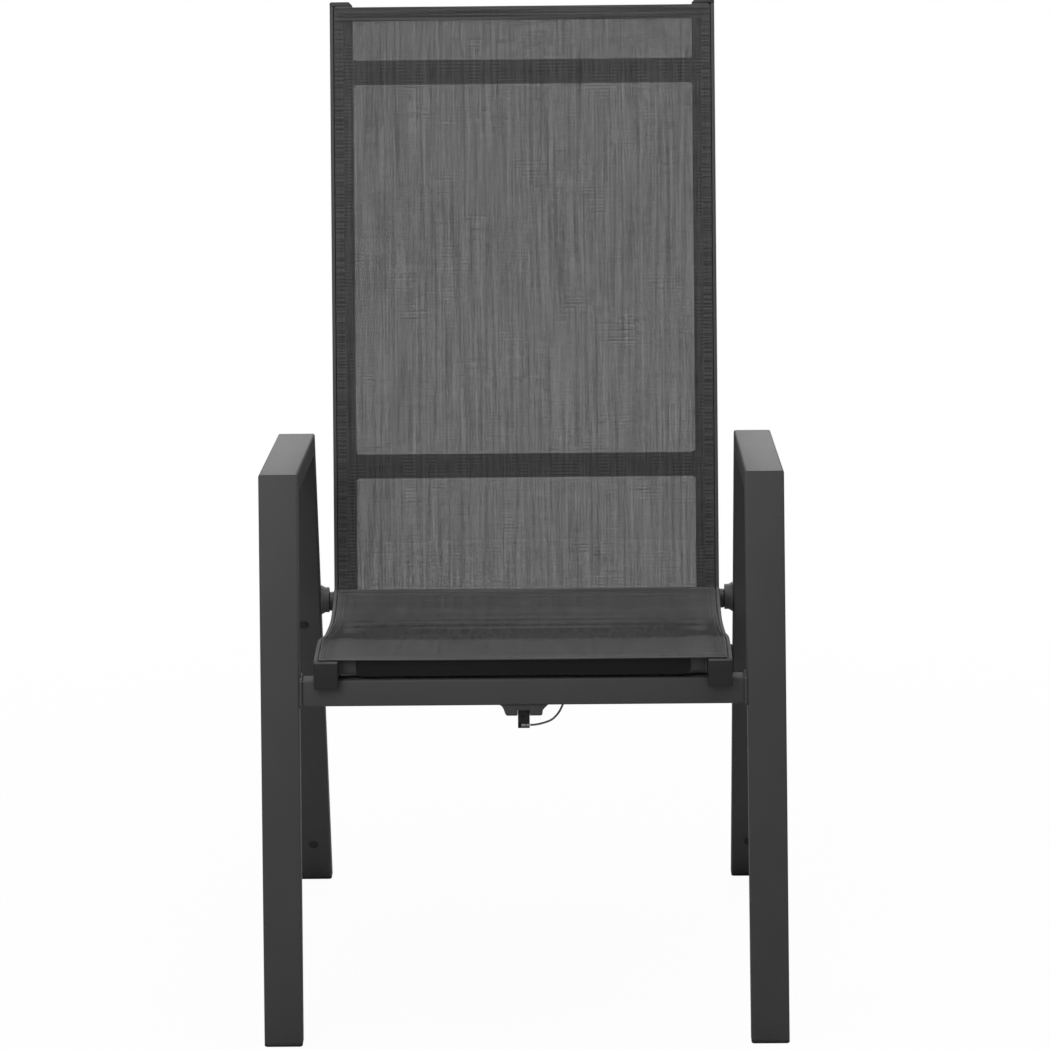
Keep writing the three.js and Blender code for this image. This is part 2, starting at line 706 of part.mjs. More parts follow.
// A closing cap on a rail's end: a plate with its inner corner taken off, and a plug in the rail's hollow
function railCap(end, way) {
  const [inner, outer] = [railInner, railOuter];
  const near = end + way * SLIT;
  const far = near + way * RAIL_CAP_HEIGHT;
  const outline = [
    spot(inner, near),
    spot(outer, near),
    spot(outer, far - way * RAIL_CORNER),
    spot(outer - RAIL_CORNER, far),
    spot(inner + RAIL_CAP_CHAMFER, far),
    spot(inner, far - way * RAIL_CAP_CHAMFER),
  ];
  const rings = [-RAIL_DEPTH / 2, RAIL_DEPTH / 2].map((y) => outline.map((corner) => point(corner.x, y, corner.y)));
  const plate = skin(outline, rings);
  const plugInner = railInner + RAIL_WALL + SLIT;
  const plugOuter = railMiddle + grooveU - GROOVE_RADIUS - RAIL_WALL - SLIT;
  const reach = RAIL_DEPTH / 2 - RAIL_WALL - SLIT;
  const heights = [near + way * RAIL_CORNER, near - way * RAIL_CAP_PLUG];
  const plug = boxBetween(
    point(plugInner, -reach, Math.min(...heights)),
    point(plugOuter, reach, Math.max(...heights)),
  );
  return join(plate, plug);
}

function crossTube(width, depth, wall, corner, y, z, lean = 0) {
  const axis = axisOf(
    point(0, y, z),
    ALONG_Y.clone().applyAxisAngle(ALONG_X, lean),
    ALONG_Z.clone().applyAxisAngle(ALONG_X, lean),
  );
  const end = railInner - SLIT;
  return barBetween(
    roundedOutline(depth, width, corner),
    rectangle(depth - 2 * wall, width - 2 * wall),
    axis,
    { place: point(-end, 0, 0), normal: ALONG_X },
    { place: point(end, 0, 0), normal: ALONG_X },
  );
}

function buildBack() {
  const outline = railOutline();
  addPair(back, "back_rail", coat, () => {
    const rail = alongBack(
      sideways(outline, railMiddle),
      -BACK_BELOW_PIVOT,
      BACK_ABOVE_PIVOT,
      sideways(railHole(), railMiddle),
    );
    return cut(
      rail,
      roundAlongX(BOLT_RADIUS + PLAY / 2, railInner - OVERCUT, railOuter + OVERCUT, 0, 0),
      roundAlongX(HINGE_PIN_RADIUS + SLIT, railInner - OVERCUT, railOuter + OVERCUT, 0, -HINGE_DOWN),
    );
  });
  addPair(back, "back_rail_top_cap", plastic, () => railCap(BACK_ABOVE_PIVOT, 1));
  addPair(back, "back_rail_bottom_cap", plastic, () => railCap(-BACK_BELOW_PIVOT, -1));
  const barPlace = BACK_BAR_DEPTH / 2 + BAR_BELOW_SLING - RAIL_DEPTH / 2;
  const heights = { upper: UPPER_BAR_UP, lower: LOWER_BAR_UP };
  Object.entries(heights).forEach(([word, up]) => {
    const tube = crossTube(BACK_BAR_WIDTH, BACK_BAR_DEPTH, BACK_BAR_WALL, BACK_BAR_CORNER, barPlace, up);
    addPiece(back, `${word}_back_bar`, tube, coat());
  });
  addPiece(
    back,
    "bottom_back_bar",
    crossTube(BOTTOM_BAR_WIDTH, RAIL_DEPTH, TUBE_WALL, TUBE_CORNER, 0, -BOTTOM_BAR_DOWN),
    coat(),
  );
  const top = BACK_ABOVE_PIVOT - BACK_SLING_BELOW_TOP;
  const flat = rectangle(2 * (railMiddle + grooveU) + SLING_THICKNESS, SLING_THICKNESS);
  const overRails = flat.map((corner) => spot(corner.x, corner.y + RAIL_DEPTH / 2 + SLIT + SLING_THICKNESS / 2));
  const hem = alongBack(overRails, -BACK_SLING_BELOW_PIVOT, BACK_BEAD_ABOVE_PIVOT + SLING_THICKNESS);
  addPiece(back, "back_sling", join(alongBack(slingOutline(), BACK_BEAD_ABOVE_PIVOT, top), hem), mesh());
}

// The seat rails lie on the glides in front, dip to the pivots' height, and end just before the back's rails
const seatFrontHeight = CROSSBAR_TOP + GLIDE_ROOM + RAIL_DEPTH;
const seatDip = seatFrontHeight - PIVOT_HEIGHT - SEAT_LOW_OVER_PIVOT;
const seatLength = fromBack(-RAIL_DEPTH / 2 - SEAT_TO_BACK, 0).y - SEAT_FRONT;

// The line of the rails' upper edge, and the rails' section carried along it
const seatLine = new THREE.SplineCurve(
  SEAT_LINE_SHARES.map(([reach, dip]) => spot(SEAT_FRONT + seatLength * reach, seatFrontHeight - seatDip * dip)),
);
function onSeatLine(share, u, v) {
  const place = seatLine.getPointAt(share);
  const way = seatLine.getTangentAt(share);
  const depth = v - RAIL_DEPTH / 2;
  return point(u, place.x - way.y * depth, place.y + way.x * depth);
}

function alongSeat(outline, from, to, hole = []) {
  const shares = Array.from({ length: SEAT_STATIONS + 1 }, (_, i) => from + ((to - from) * i) / SEAT_STATIONS);
  const ringAt = (corners, share) => corners.map((corner) => onSeatLine(share, corner.x, corner.y));
  return skin(
    outline,
    shares.map((share) => ringAt(outline, share)),
    hole,
    hole.length ? shares.map((share) => ringAt(hole, share)) : [],
  );
}

// The share of the seat line at a distance from the front, and the slope there
const seatLineLength = seatLine.getLength();
function seatShareAt(y) {
  let [low, high] = [0, 1];
  for (let i = 0; i < SEAT_STATIONS; i += 1) {
    const middle = (low + high) / 2;
    if (seatLine.getPointAt(middle).x < y) low = middle;
    else high = middle;
  }
  return (low + high) / 2;
}
function seatSlopeAt(share) {
  const way = seatLine.getTangentAt(share);
  return Math.atan2(way.y, way.x);
}

// A bar between the seat rails, a little under the sling
function seatBar(y, width, depth, wall, corner, below) {
  const share = seatShareAt(y);
  const middle = onSeatLine(share, 0, RAIL_DEPTH / 2 - below - depth / 2);
  return crossTube(depth, width, wall, corner, middle.y, middle.z, seatSlopeAt(share));
}

// The strip under the front edge: its outline is a long plate with its two lower corners rounded
function frontStrip(middle, slope) {
  const half = railInner - STRIP_INSET;
  const high = FRONT_TUBE_HEIGHT / 2;
  const low = -FRONT_TUBE_HEIGHT / 2 - STRIP_LAP;
  const outline = [spot(half, high), spot(-half, high)];
  [-1, 1].forEach((side) => {
    for (let i = 0; i <= CORNER_STEPS * 2; i += 1) {
      const turn = (i / (CORNER_STEPS * 2)) * (Math.PI / 2);
      const angle = side < 0 ? Math.PI + turn : -Math.PI / 2 + turn;
      const centre = spot(side * (half - STRIP_CORNER), low + STRIP_CORNER);
      outline.push(spot(centre.x + STRIP_CORNER * Math.cos(angle), centre.y + STRIP_CORNER * Math.sin(angle)));
    }
  });
  const face = -FRONT_TUBE_DEPTH / 2 - SLIT;
  const rings = [face - STRIP_THICKNESS, face].map((y) => outline.map((corner) => point(corner.x, y, corner.y)));
  return skin(outline, rings).rotateX(slope).translate(0, middle.y, middle.z);
}

// The front cap of a seat rail: it closes the rail and hooks down in front of the crossbar
function seatNose() {
  const slope = seatSlopeAt(0);
  const start = onSeatLine(0, 0, RAIL_DEPTH / 2);
  const [front, rear] = [-SLIT - NOSE_THICKNESS, -SLIT];
  const plate = skin(
    rectangle(RAIL_WIDTH, NOSE_HEIGHT),
    [
      [front, NOSE_BEVEL],
      [front + NOSE_BEVEL, 0],
      [rear, 0],
    ].map(([y, inset]) =>
      rectangle(RAIL_WIDTH - 2 * inset, NOSE_HEIGHT - 2 * inset).map((corner) =>
        point(railMiddle + corner.x, y, corner.y - NOSE_HEIGHT / 2),
      ),
    ),
  );
  const hook = boxBetween(
    point(railInner, front + NOSE_BEVEL, -NOSE_HEIGHT),
    point(railOuter, front + NOSE_HOOK_DEPTH, -RAIL_DEPTH - SLIT),
  );
  const reach = RAIL_WALL + SLIT;
  const plug = boxBetween(
    point(railInner + reach, rear - NOSE_BEVEL, -RAIL_DEPTH + reach),
    point(railMiddle + grooveU - GROOVE_RADIUS - reach, rear + RAIL_CAP_PLUG, -reach),
  );
  return join(plate, hook, plug).rotateX(slope).translate(0, start.y, start.z);
}

// The seat's hinge plate: from the pin on the back rail up to the inner side of the seat rail and along it
function hingePlate() {
  const pin = fromBack(0, -HINGE_DOWN);
  const elbowShare = 1 - (HINGE_PLATE_RADIUS + HINGE_PLATE_TAIL_RADIUS) / seatLineLength;
  const elbow = onSeatLine(elbowShare, 0, 0);
  const tail = onSeatLine(1 - HINGE_PLATE_REACH / seatLineLength, 0, 0);
  const outer = railInner - SLIT;
  const inner = outer - HINGE_PLATE_THICKNESS;
  const inSideView = (place) => spot(place.y, place.z);
  const down = linkOutline(inSideView(pin), inSideView(elbow), HINGE_PLATE_RADIUS, HINGE_PLATE_TAIL_RADIUS);
  const along = linkOutline(inSideView(elbow), inSideView(tail), HINGE_PLATE_TAIL_RADIUS, HINGE_PLATE_TAIL_RADIUS);
  const hole = roundAlongX(HINGE_PIN_RADIUS + PLAY / 2, inner - OVERCUT, outer + OVERCUT, pin.y, pin.z);
  return cut(join(plateAlongX(down, inner, outer), plateAlongX(along, inner, outer)), hole);
}

function hingePin() {
  const from = railInner - SLIT - HINGE_PLATE_THICKNESS - SLIT;
  const shank = roundAlongX(HINGE_PIN_RADIUS, from - HINGE_HEAD_THICKNESS / 2, railOuter - RAIL_WALL, 0, -HINGE_DOWN);
  const head = roundAlongX(HINGE_HEAD_RADIUS, from - HINGE_HEAD_THICKNESS, from, 0, -HINGE_DOWN);
  return join(head, shank);
}

function buildSeat() {
  const outline = railOutline();
  addPair(seat, "seat_rail", coat, () =>
    alongSeat(sideways(outline, railMiddle), 0, 1, sideways(railHole(), railMiddle)),
  );
  addPair(seat, "seat_nose", plastic, () => seatNose());
  const end = SEAT_SLING_END / seatLineLength;
  addPiece(seat, "seat_sling", alongSeat(slingOutline(), 0, 1 - end), mesh());
  const below = (RAIL_DEPTH - FRONT_TUBE_HEIGHT) / 2;
  const frontShare = seatShareAt(FRONT_TUBE_AT);
  addPiece(
    seat,
    "seat_front_tube",
    seatBar(FRONT_TUBE_AT, FRONT_TUBE_DEPTH, FRONT_TUBE_HEIGHT, TUBE_WALL, TUBE_CORNER, below),
    coat(),
  );
  const middle = onSeatLine(frontShare, 0, RAIL_DEPTH / 2 - below - FRONT_TUBE_HEIGHT / 2);
  addPiece(seat, "seat_front_strip", frontStrip(middle, seatSlopeAt(frontShare)), plastic());
  const distances = { middle: MIDDLE_BAR_TO_END, rear: REAR_BAR_TO_END };
  Object.entries(distances).forEach(([word, toEnd]) => {
    const y = SEAT_FRONT + seatLength - toEnd;
    const bar = seatBar(y, SEAT_BAR_WIDTH, SEAT_BAR_DEPTH, SEAT_BAR_WALL, TUBE_CORNER, BAR_BELOW_SLING);
    addPiece(seat, `${word}_seat_bar`, bar, coat());
  });
  addPair(seat, "seat_hinge_plate", steel, () => hingePlate());
  addPair(back, "seat_hinge_pin", steel, () => hingePin());
}

// Glides: pads clipped over the crossbar, under the seat rails
function buildGlides() {
  const undersides = [CROSSBAR_SETBACK, CROSSBAR_SETBACK + TUBE_DEPTH].map((y) => {
    return onSeatLine(seatShareAt(y), 0, -RAIL_DEPTH / 2).z;
  });
  const top = Math.min(...undersides) - SLIDE_SLIT;
  const front = CROSSBAR_SETBACK - SLIT;
  const rear = CROSSBAR_SETBACK + TUBE_DEPTH + SLIT;
  addPair(frame, "seat_glide", plastic, () => {
    const [low, high] = [railMiddle - GLIDE_LENGTH / 2, railMiddle + GLIDE_LENGTH / 2];
    const pad = boxBetween(point(low, front, CROSSBAR_TOP + SLIT), point(high, rear + GLIDE_SKIRT_THICKNESS, top));
    const skirt = boxBetween(
      point(low, rear, CROSSBAR_TOP - GLIDE_SKIRT),
      point(high, rear + GLIDE_SKIRT_THICKNESS, CROSSBAR_TOP + 2 * SLIT),
    );
    return join(pad, skirt);
  });
}

const springFront = point(
  0,
  CROSSBAR_SETBACK + TUBE_DEPTH + SPRING_BEHIND_CROSSBAR,
  CROSSBAR_TOP - CROSSBAR_HEIGHT - SPRING_BELOW_CROSSBAR,
);

// The front bracket of the gas spring: a notched plate, a top plate and two cheeks under the crossbar
function buildSpringBracket() {
  const under = CROSSBAR_TOP - CROSSBAR_HEIGHT - SLIT;
  const cheekInner = HEAD_WIDTH / 2 + PLAY;
  const cheekOuter = cheekInner + CHEEK_THICKNESS;
  const front = CROSSBAR_SETBACK + TUBE_CORNER;
  const plate = [
    spot(-BRACKET_TOP_WIDTH / 2, under),
    spot(-BRACKET_LOW_WIDTH / 2, under - BRACKET_DROP),
    spot(-cheekInner, under - BRACKET_DROP),
    spot(-cheekInner, under - BRACKET_DROP + NOTCH_HEIGHT),
    spot(cheekInner, under - BRACKET_DROP + NOTCH_HEIGHT),
    spot(cheekInner, under - BRACKET_DROP),
    spot(BRACKET_LOW_WIDTH / 2, under - BRACKET_DROP),
    spot(BRACKET_TOP_WIDTH / 2, under),
  ];
  const rings = [front, front + BRACKET_PLATE].map((y) => plate.map((corner) => point(corner.x, y, corner.y)));
  const roof = boxBetween(
    point(-cheekOuter, front, under - BRACKET_PLATE / 2),
    point(cheekOuter, CROSSBAR_SETBACK + TUBE_DEPTH, under),
  );
  const cheekOutline = [spot(front, under), spot(front, under - BRACKET_DROP)];
  for (let i = 0; i <= GROOVE_STEPS; i += 1) {
    const angle = (i / GROOVE_STEPS - 1 / 2) * Math.PI;
    const [y, z] = [Math.cos(angle), Math.sin(angle)].map((share) => share * CHEEK_RADIUS);
    cheekOutline.push(spot(springFront.y + y, springFront.z + z));
  }
  cheekOutline.push(spot(CROSSBAR_SETBACK + TUBE_DEPTH, under));
  const cheeks = [
    [-cheekOuter, -cheekInner],
    [cheekInner, cheekOuter],
  ].map(([from, to]) => plateAlongX(cheekOutline, from, to));
  const hole = roundAlongX(
    SPRING_PIN_RADIUS + PLAY / 2,
    -cheekOuter - OVERCUT,
    cheekOuter + OVERCUT,
    springFront.y,
    springFront.z,
    SMALL_ROUND_SIDES,
  );
  const blank = join(skin(plate, rings), roof, ...cheeks);
  addPiece(frame, "spring_front_bracket", cut(blank, hole), coat());
  addPiece(frame, "spring_front_pin", springPin(cheekOuter, springFront.y, springFront.z), steel());
}

// A headed pin across two cheeks
function springPin(cheekOuter, y, z) {
  const end = cheekOuter + SLIT;
  const head = SPRING_PIN_RADIUS * (3 / 2);
  return join(
    roundAlongX(SPRING_PIN_RADIUS, -end - SPRING_PIN_RADIUS / 2, end + SPRING_PIN_RADIUS, y, z, SMALL_ROUND_SIDES),
    roundAlongX(head, -end - SPRING_PIN_RADIUS, -end, y, z, SMALL_ROUND_SIDES),
  );
}

function buildSpringRearBracket() {
  const cheekInner = EYE_WIDTH / 2 + PLAY * 2;
  const cheekOuter = cheekInner + CHEEK_THICKNESS;
  const face = -RAIL_DEPTH / 2 - SLIT;
  const seatPlate = boxBetween(
    point(-cheekOuter, face - BRACKET_PLATE, -BOTTOM_BAR_DOWN - CHEEK_RADIUS),
    point(cheekOuter, face, -BOTTOM_BAR_DOWN + CHEEK_RADIUS),
  );
  const eye = spot(-SPRING_REAR_REACH, -BOTTOM_BAR_DOWN);
  const root = spot(face - CHEEK_RADIUS, -BOTTOM_BAR_DOWN);
  const outline = linkOutline(eye, root, SPRING_PIN_RADIUS * 2, CHEEK_RADIUS);
  const cheeks = [
    [-cheekOuter, -cheekInner],
    [cheekInner, cheekOuter],
  ].map(([from, to]) => plateAlongX(outline, from, to));
  const hole = roundAlongX(
    SPRING_PIN_RADIUS + PLAY / 2,
    -cheekOuter - OVERCUT,
    cheekOuter + OVERCUT,
    -SPRING_REAR_REACH,
    -BOTTOM_BAR_DOWN,
    SMALL_ROUND_SIDES,
  );
  addPiece(back, "spring_rear_bracket", cut(join(seatPlate, ...cheeks), hole), coat());
  addPiece(back, "spring_rear_pin", springPin(cheekOuter, -SPRING_REAR_REACH, -BOTTOM_BAR_DOWN), steel());
}

// The gas spring lies along its own Y axis, from the front pin to the rear pin
const springRear = fromBack(-SPRING_REAR_REACH, -BOTTOM_BAR_DOWN);
const springLength = springRear.distanceTo(springFront);
const springSlope = Math.atan2(springRear.z - springFront.z, springRear.y - springFront.y);

// A round shape along the spring's own Y axis
function roundAlongY(radius, from, to, x, z, sides = ROUND_SIDES) {
  return new THREE.CylinderGeometry(radius, radius, to - from, sides).translate(x, (from + to) / 2, z);
}

// The release head: a block on the front pin with a foot that carries the rocker and the cable's ferrule
function releaseHead(half) {
  const block = boxBetween(point(-half, -HEAD_FRONT, -HEAD_BOTTOM), point(half, HEAD_BACK, HEAD_TOP));
  const foot = boxBetween(point(-half, -HEAD_FRONT, -HEAD_FOOT_DROP), point(half, HEAD_FOOT_BACK, -HEAD_BOTTOM / 2));
  const slotMiddle = (HEAD_FOOT_BACK - HEAD_FRONT) / 2;
  const slot = boxBetween(
    point(-half - OVERCUT, slotMiddle - SLOT_WIDTH / 2, -HEAD_FOOT_DROP - OVERCUT),
    point(half - SLOT_END_WALL, slotMiddle + SLOT_WIDTH / 2, -SLOT_TOP),
  );
  const groove = FERRULE_RADIUS + SLIT;
  const grooveEnd = half - SLIT / 2 - FERRULE_LENGTH - SLIT;
  const pin = ROCKER_PIN_RADIUS + PLAY / 2;
  return cut(
    join(block, foot),
    slot,
    roundAlongY(ROD_RADIUS + SLIT, HEAD_BACK - ROD_SEAT, HEAD_BACK + OVERCUT, 0, 0),
    roundAlongX(SPRING_PIN_RADIUS + PLAY / 2, -half - OVERCUT, half + OVERCUT, 0, 0, SMALL_ROUND_SIDES),
    roundAlongY(pin, -HEAD_FRONT - OVERCUT, HEAD_FOOT_BACK + OVERCUT, -ROCKER_ASIDE, -ROCKER_PIN_DROP, SMALL_ROUND_SIDES),
    roundAlongX(groove, grooveEnd, half + OVERCUT, FERRULE_SETBACK - HEAD_FRONT, -FERRULE_DROP),
  );
}

function releaseRocker() {
  const middle = (HEAD_FOOT_BACK - HEAD_FRONT) / 2;
  const thickness = SLOT_WIDTH - 2 * PLAY;
  const outline = linkOutline(
    spot(-ROCKER_ASIDE, -ROCKER_PIN_DROP),
    spot(-ROCKER_ASIDE, -ROCKER_PIN_DROP - ROCKER_LENGTH),
    ROCKER_HUB_RADIUS,
    ROCKER_TIP_RADIUS,
  );
  const rings = [middle - thickness / 2, middle + thickness / 2].map((y) => {
    return outline.map((corner) => point(corner.x, y, corner.y));
  });
  const [from, to] = [-HEAD_FRONT + SLIT, HEAD_FOOT_BACK - SLIT];
  const stubs = roundAlongY(ROCKER_PIN_RADIUS, from, to, -ROCKER_ASIDE, -ROCKER_PIN_DROP, SMALL_ROUND_SIDES);
  return join(skin(outline, rings), stubs);
}

function lathed(corners) {
  return new THREE.LatheGeometry(corners, ROUND_SIDES);
}

function buildSpring() {
  const half = HEAD_WIDTH / 2;
  addPiece(spring, "release_head", releaseHead(half), plastic());
  addPiece(spring, "release_rocker", releaseRocker(), plastic());
  const end = half - SLIT / 2;
  const [y, z] = [FERRULE_SETBACK - HEAD_FRONT, -FERRULE_DROP];
  addPiece(spring, "cable_ferrule", roundAlongX(FERRULE_RADIUS, end - FERRULE_LENGTH, end, y, z), steel());
  const rodStart = HEAD_BACK - ROD_SEAT + SLIT;
  const rod = new THREE.CylinderGeometry(ROD_RADIUS, ROD_RADIUS, ROD_LENGTH, ROUND_SIDES);
  addPiece(spring, "spring_rod", rod.translate(0, rodStart + ROD_LENGTH / 2, 0), steel());

  const mouth = HEAD_BACK + ROD_VISIBLE;
  const tail = springLength - CYLINDER_TAIL;
  const bore = ROD_RADIUS + SLIT;
  const shell = lathed([
    spot(0, mouth + CYLINDER_BORE_LENGTH),
    spot(bore, mouth + CYLINDER_BORE_LENGTH),
    spot(bore, mouth),
    spot(CYLINDER_RADIUS - FOOT_BEVEL * 2, mouth),
    spot(CYLINDER_RADIUS, mouth + CYLINDER_NECK / 4),
    spot(CYLINDER_RADIUS, tail - CYLINDER_NECK / 4),
    spot(TAIL_RADIUS, tail),
    spot(TAIL_RADIUS, springLength - SPRING_PIN_RADIUS - SPRING_REAR_PLAY - EYE_WALL / 2),
    spot(0, springLength - SPRING_PIN_RADIUS - SPRING_REAR_PLAY - EYE_WALL / 2),
  ]);
  const eyeInner = SPRING_PIN_RADIUS + SPRING_REAR_PLAY;
  const eye = roundAlongX(eyeInner + EYE_WALL, -EYE_WIDTH / 2, EYE_WIDTH / 2, springLength, 0);
  const eyeHole = roundAlongX(eyeInner, -EYE_WIDTH, EYE_WIDTH, springLength, 0);
  addPiece(spring, "spring_cylinder", cut(join(shell, eye), eyeHole), coat());
}

// The lever and its housing, in the armrest's own slope, with zero at the armrest's underside
function buildLever() {
  const half = HOUSING_WIDTH / 2;
  const block = boxBetween(point(-half, -HOUSING_FRONT, -HOUSING_DROP), point(half, HOUSING_BACK, -SLIT));
  const hollow = boxBetween(
    point(-half + HOUSING_PLATE, -HOUSING_FRONT + 2 * HOUSING_PLATE, -HOUSING_DROP - OVERCUT),
    point(half - HOUSING_PLATE, HOUSING_BACK + OVERCUT, -HOUSING_PLATE),
  );
  const bore = LEVER_PIN_RADIUS + PLAY / 2;
  const hole = roundAlongX(bore, -half - OVERCUT, half + OVERCUT, 0, -LEVER_PIN_DROP, SMALL_ROUND_SIDES);
  const entryRadius = CABLE_RADIUS + 2 * SLIT;
  const entry = new THREE.CylinderGeometry(entryRadius, entryRadius, HOUSING_FRONT, SMALL_ROUND_SIDES);
  entry.translate(0, -HOUSING_FRONT, -CABLE_ENTRY_DROP);
  addPiece(lever, "lever_housing", cut(block, hollow, hole, entry), plastic());
  const hub = spot(0, -LEVER_PIN_DROP);
  const tip = spot(LEVER_LENGTH, -LEVER_PIN_DROP - LEVER_TIP_DROP);
  const outline = linkOutline(hub, tip, LEVER_HUB_RADIUS, LEVER_TIP_RADIUS);
  const stubs = roundAlongX(LEVER_PIN_RADIUS, -half + SLIT, half - SLIT, 0, -LEVER_PIN_DROP, SMALL_ROUND_SIDES);
  addPiece(lever, "release_lever", join(plateAlongX(outline, -LEVER_WIDTH / 2, LEVER_WIDTH / 2), stubs), plastic());
}

function buildCable() {
  const route = new THREE.CatmullRomCurve3(CABLE_ROUTE.map((place) => point(...place)));
  const section = new THREE.Shape();
  for (let i = 0; i < CABLE_SIDES; i += 1) {
    const angle = (i / CABLE_SIDES) * 2 * Math.PI;
    const corner = spot(CABLE_RADIUS * Math.cos(angle), CABLE_RADIUS * Math.sin(angle));
    if (i === 0) section.moveTo(corner.x, corner.y);
    else section.lineTo(corner.x, corner.y);
  }
  const tube = new THREE.ExtrudeGeometry(section, { steps: CABLE_STEPS, extrudePath: route, curveSegments: 1 });
  addPiece(frame, "release_cable", tube, casing());
}

function assemble() {
  back.position.copy(pivot);
  back.rotation.x = -backLean;
  spring.position.copy(springFront);
  spring.rotation.x = springSlope;
  const underside = frontCorner.clone().addScaledVector(armAxis.up, -TUBE_DEPTH);
  const toLeg = (TUBE_DEPTH - underside.y) / armWay.y;
  const underArm = underside.addScaledVector(armWay, toLeg + LEVER_BEHIND_LEG);
  lever.position.copy(underArm).setX(tubeMiddle + splayAt(underArm.z));
  lever.rotation.x = -armSlope;
  chair.add(frame, back, seat, spring, lever);
  const box = new THREE.Box3().setFromObject(chair);
  chair.position.y = -(box.min.y + box.max.y) / 2;
}

buildSideFrames();
buildFeet();
buildCrossbars();
buildPivots();
buildBack();
buildSeat();
buildGlides();
buildSpringBracket();
buildSpringRearBracket();
buildSpring();
buildLever();
buildCable();
assemble();

const part = new THREE.Group();
part.add(chair);

export default part;
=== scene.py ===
import math
from contextlib import contextmanager

import bmesh
import bpy
import numpy as np
from mathutils import Matrix, Vector


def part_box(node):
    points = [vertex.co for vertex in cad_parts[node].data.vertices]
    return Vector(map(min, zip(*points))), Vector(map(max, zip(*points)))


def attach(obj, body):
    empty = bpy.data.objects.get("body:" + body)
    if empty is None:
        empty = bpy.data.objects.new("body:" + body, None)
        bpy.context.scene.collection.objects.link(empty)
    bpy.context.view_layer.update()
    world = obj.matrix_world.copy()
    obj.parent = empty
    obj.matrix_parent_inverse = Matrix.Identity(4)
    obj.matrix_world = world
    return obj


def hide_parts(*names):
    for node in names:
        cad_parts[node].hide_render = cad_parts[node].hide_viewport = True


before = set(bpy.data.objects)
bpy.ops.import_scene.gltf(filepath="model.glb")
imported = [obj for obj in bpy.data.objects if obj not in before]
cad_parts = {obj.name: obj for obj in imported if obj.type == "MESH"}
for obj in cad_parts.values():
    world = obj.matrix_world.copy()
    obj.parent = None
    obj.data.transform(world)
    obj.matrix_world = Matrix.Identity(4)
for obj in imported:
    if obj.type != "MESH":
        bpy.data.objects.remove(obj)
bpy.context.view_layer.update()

# Lengths in metres. X to the viewer's right, Y from the front to the rear, Z up from the floor.

# Side frames, as the frame's solids have them
ARM_FRONT_HEIGHT = 0.657
ARM_REAR_HEIGHT = 0.632
ARM_LENGTH = 0.372
FRAME_DEPTH = 0.705
FRAME_INNER_WIDTH = 0.491
LEG_SPLAY = 0.007
TUBE_WIDTH = 0.043
TUBE_DEPTH = 0.025
TUBE_WALL = 0.0018
TUBE_CORNER = 0.0024
TUBE_EDGE = 0.0004
SLIT = 0.0003
FOOT_HEIGHT = 0.004
FOOT_PLUG_LENGTH = 0.018
PLUG_HEIGHTS = {"upper": 0.377, "lower": 0.054}

# Crossbars and rails
CROSSBAR_TOP = 0.424
CROSSBAR_HEIGHT = 0.030
CROSSBAR_SETBACK = 0.002
REAR_BAR_BELOW_PIVOT = 0.088
REAR_BAR_WIDTH = 0.030
REAR_BAR_DEPTH = 0.020
RAIL_WIDTH = 0.027
RAIL_DEPTH = 0.020
RAIL_CORNER = 0.0015
GROOVE_FROM_EDGE = 0.0055
GROOVE_RADIUS = 0.0034
GROOVE_MOUTH = 0.0026
GROOVE_LIP = 0.002
GROOVE_LIP_ROUND = 0.0005

# Weld ripples: pitch, length, width and height, how far they stand out from the tube, and from the face beside it
CROSSBAR_WELD = (0.0026, 0.0046, 0.0042, 0.0042)
CROSSBAR_WELD_SWELL = 0.0014
BAR_WELD = (0.0022, 0.0036, 0.0026, 0.0026)
BAR_WELD_SWELL = 0.0008
WELD_SETBACK = 0.0012

# Slings
BEAD_RADIUS = 0.0024
SLING_TOP_OVER_RAIL = 0.0016
CLOTH = 0.0007
POCKET_WIDTH = 0.0101
HEM_WIDTH = 0.0172
SEAT_HEM_WIDTH = 0.0158
SEAM_FROM_FOLD = 0.0040
SECOND_SEAM = 0.0090
SEAM_DIP = 0.00035
SEAM_HALF_WIDTH = 0.0008
NEAR_SEAM = (-0.0017, -0.0011, -0.0007, -0.00035, 0.0, 0.00035, 0.0007, 0.0011, 0.0017)
NEAR_HEM = (-0.0003, 0.0, 0.0003)
HEM_ROUND = 0.0006
HEM_SWELL = 0.00028
HEM_SWELL_AT = 0.0045
HEM_SWELL_HALF = 0.0028
HEM_MARKS = (0.0001, 0.0003, 0.0006, 0.0016, 0.0030, 0.0045, 0.0060, 0.0076, 0.0092)
SOFT_STEP = 0.0006
OPEN_SET = 0.00012
LIP_HALF = 0.00055
NECK_SHIFT = 0.0006
NECK_STEP = 0.0004
FOLD_RADIUS = 0.0011
FADE_BEFORE_FOLD = 0.0015
FREE_SAG = 0.0006
SEAT_CREASES = ((0.303, 0.0008), (0.355, 0.0010), (0.388, 0.0009), (0.420, 0.0006))
CREASE_HALF = 0.013
STITCH = (0.0034, 0.0030, 0.0007, 0.00056)
STITCH_OVER = 0.00018
SEAM_END = 0.003
STRAND_RADIUS = 0.00022
BACK_WEFT_DEPTH = 0.00035
SEAT_WEFT_DEPTH = 0.00011
OPEN_MARGIN = 0.001

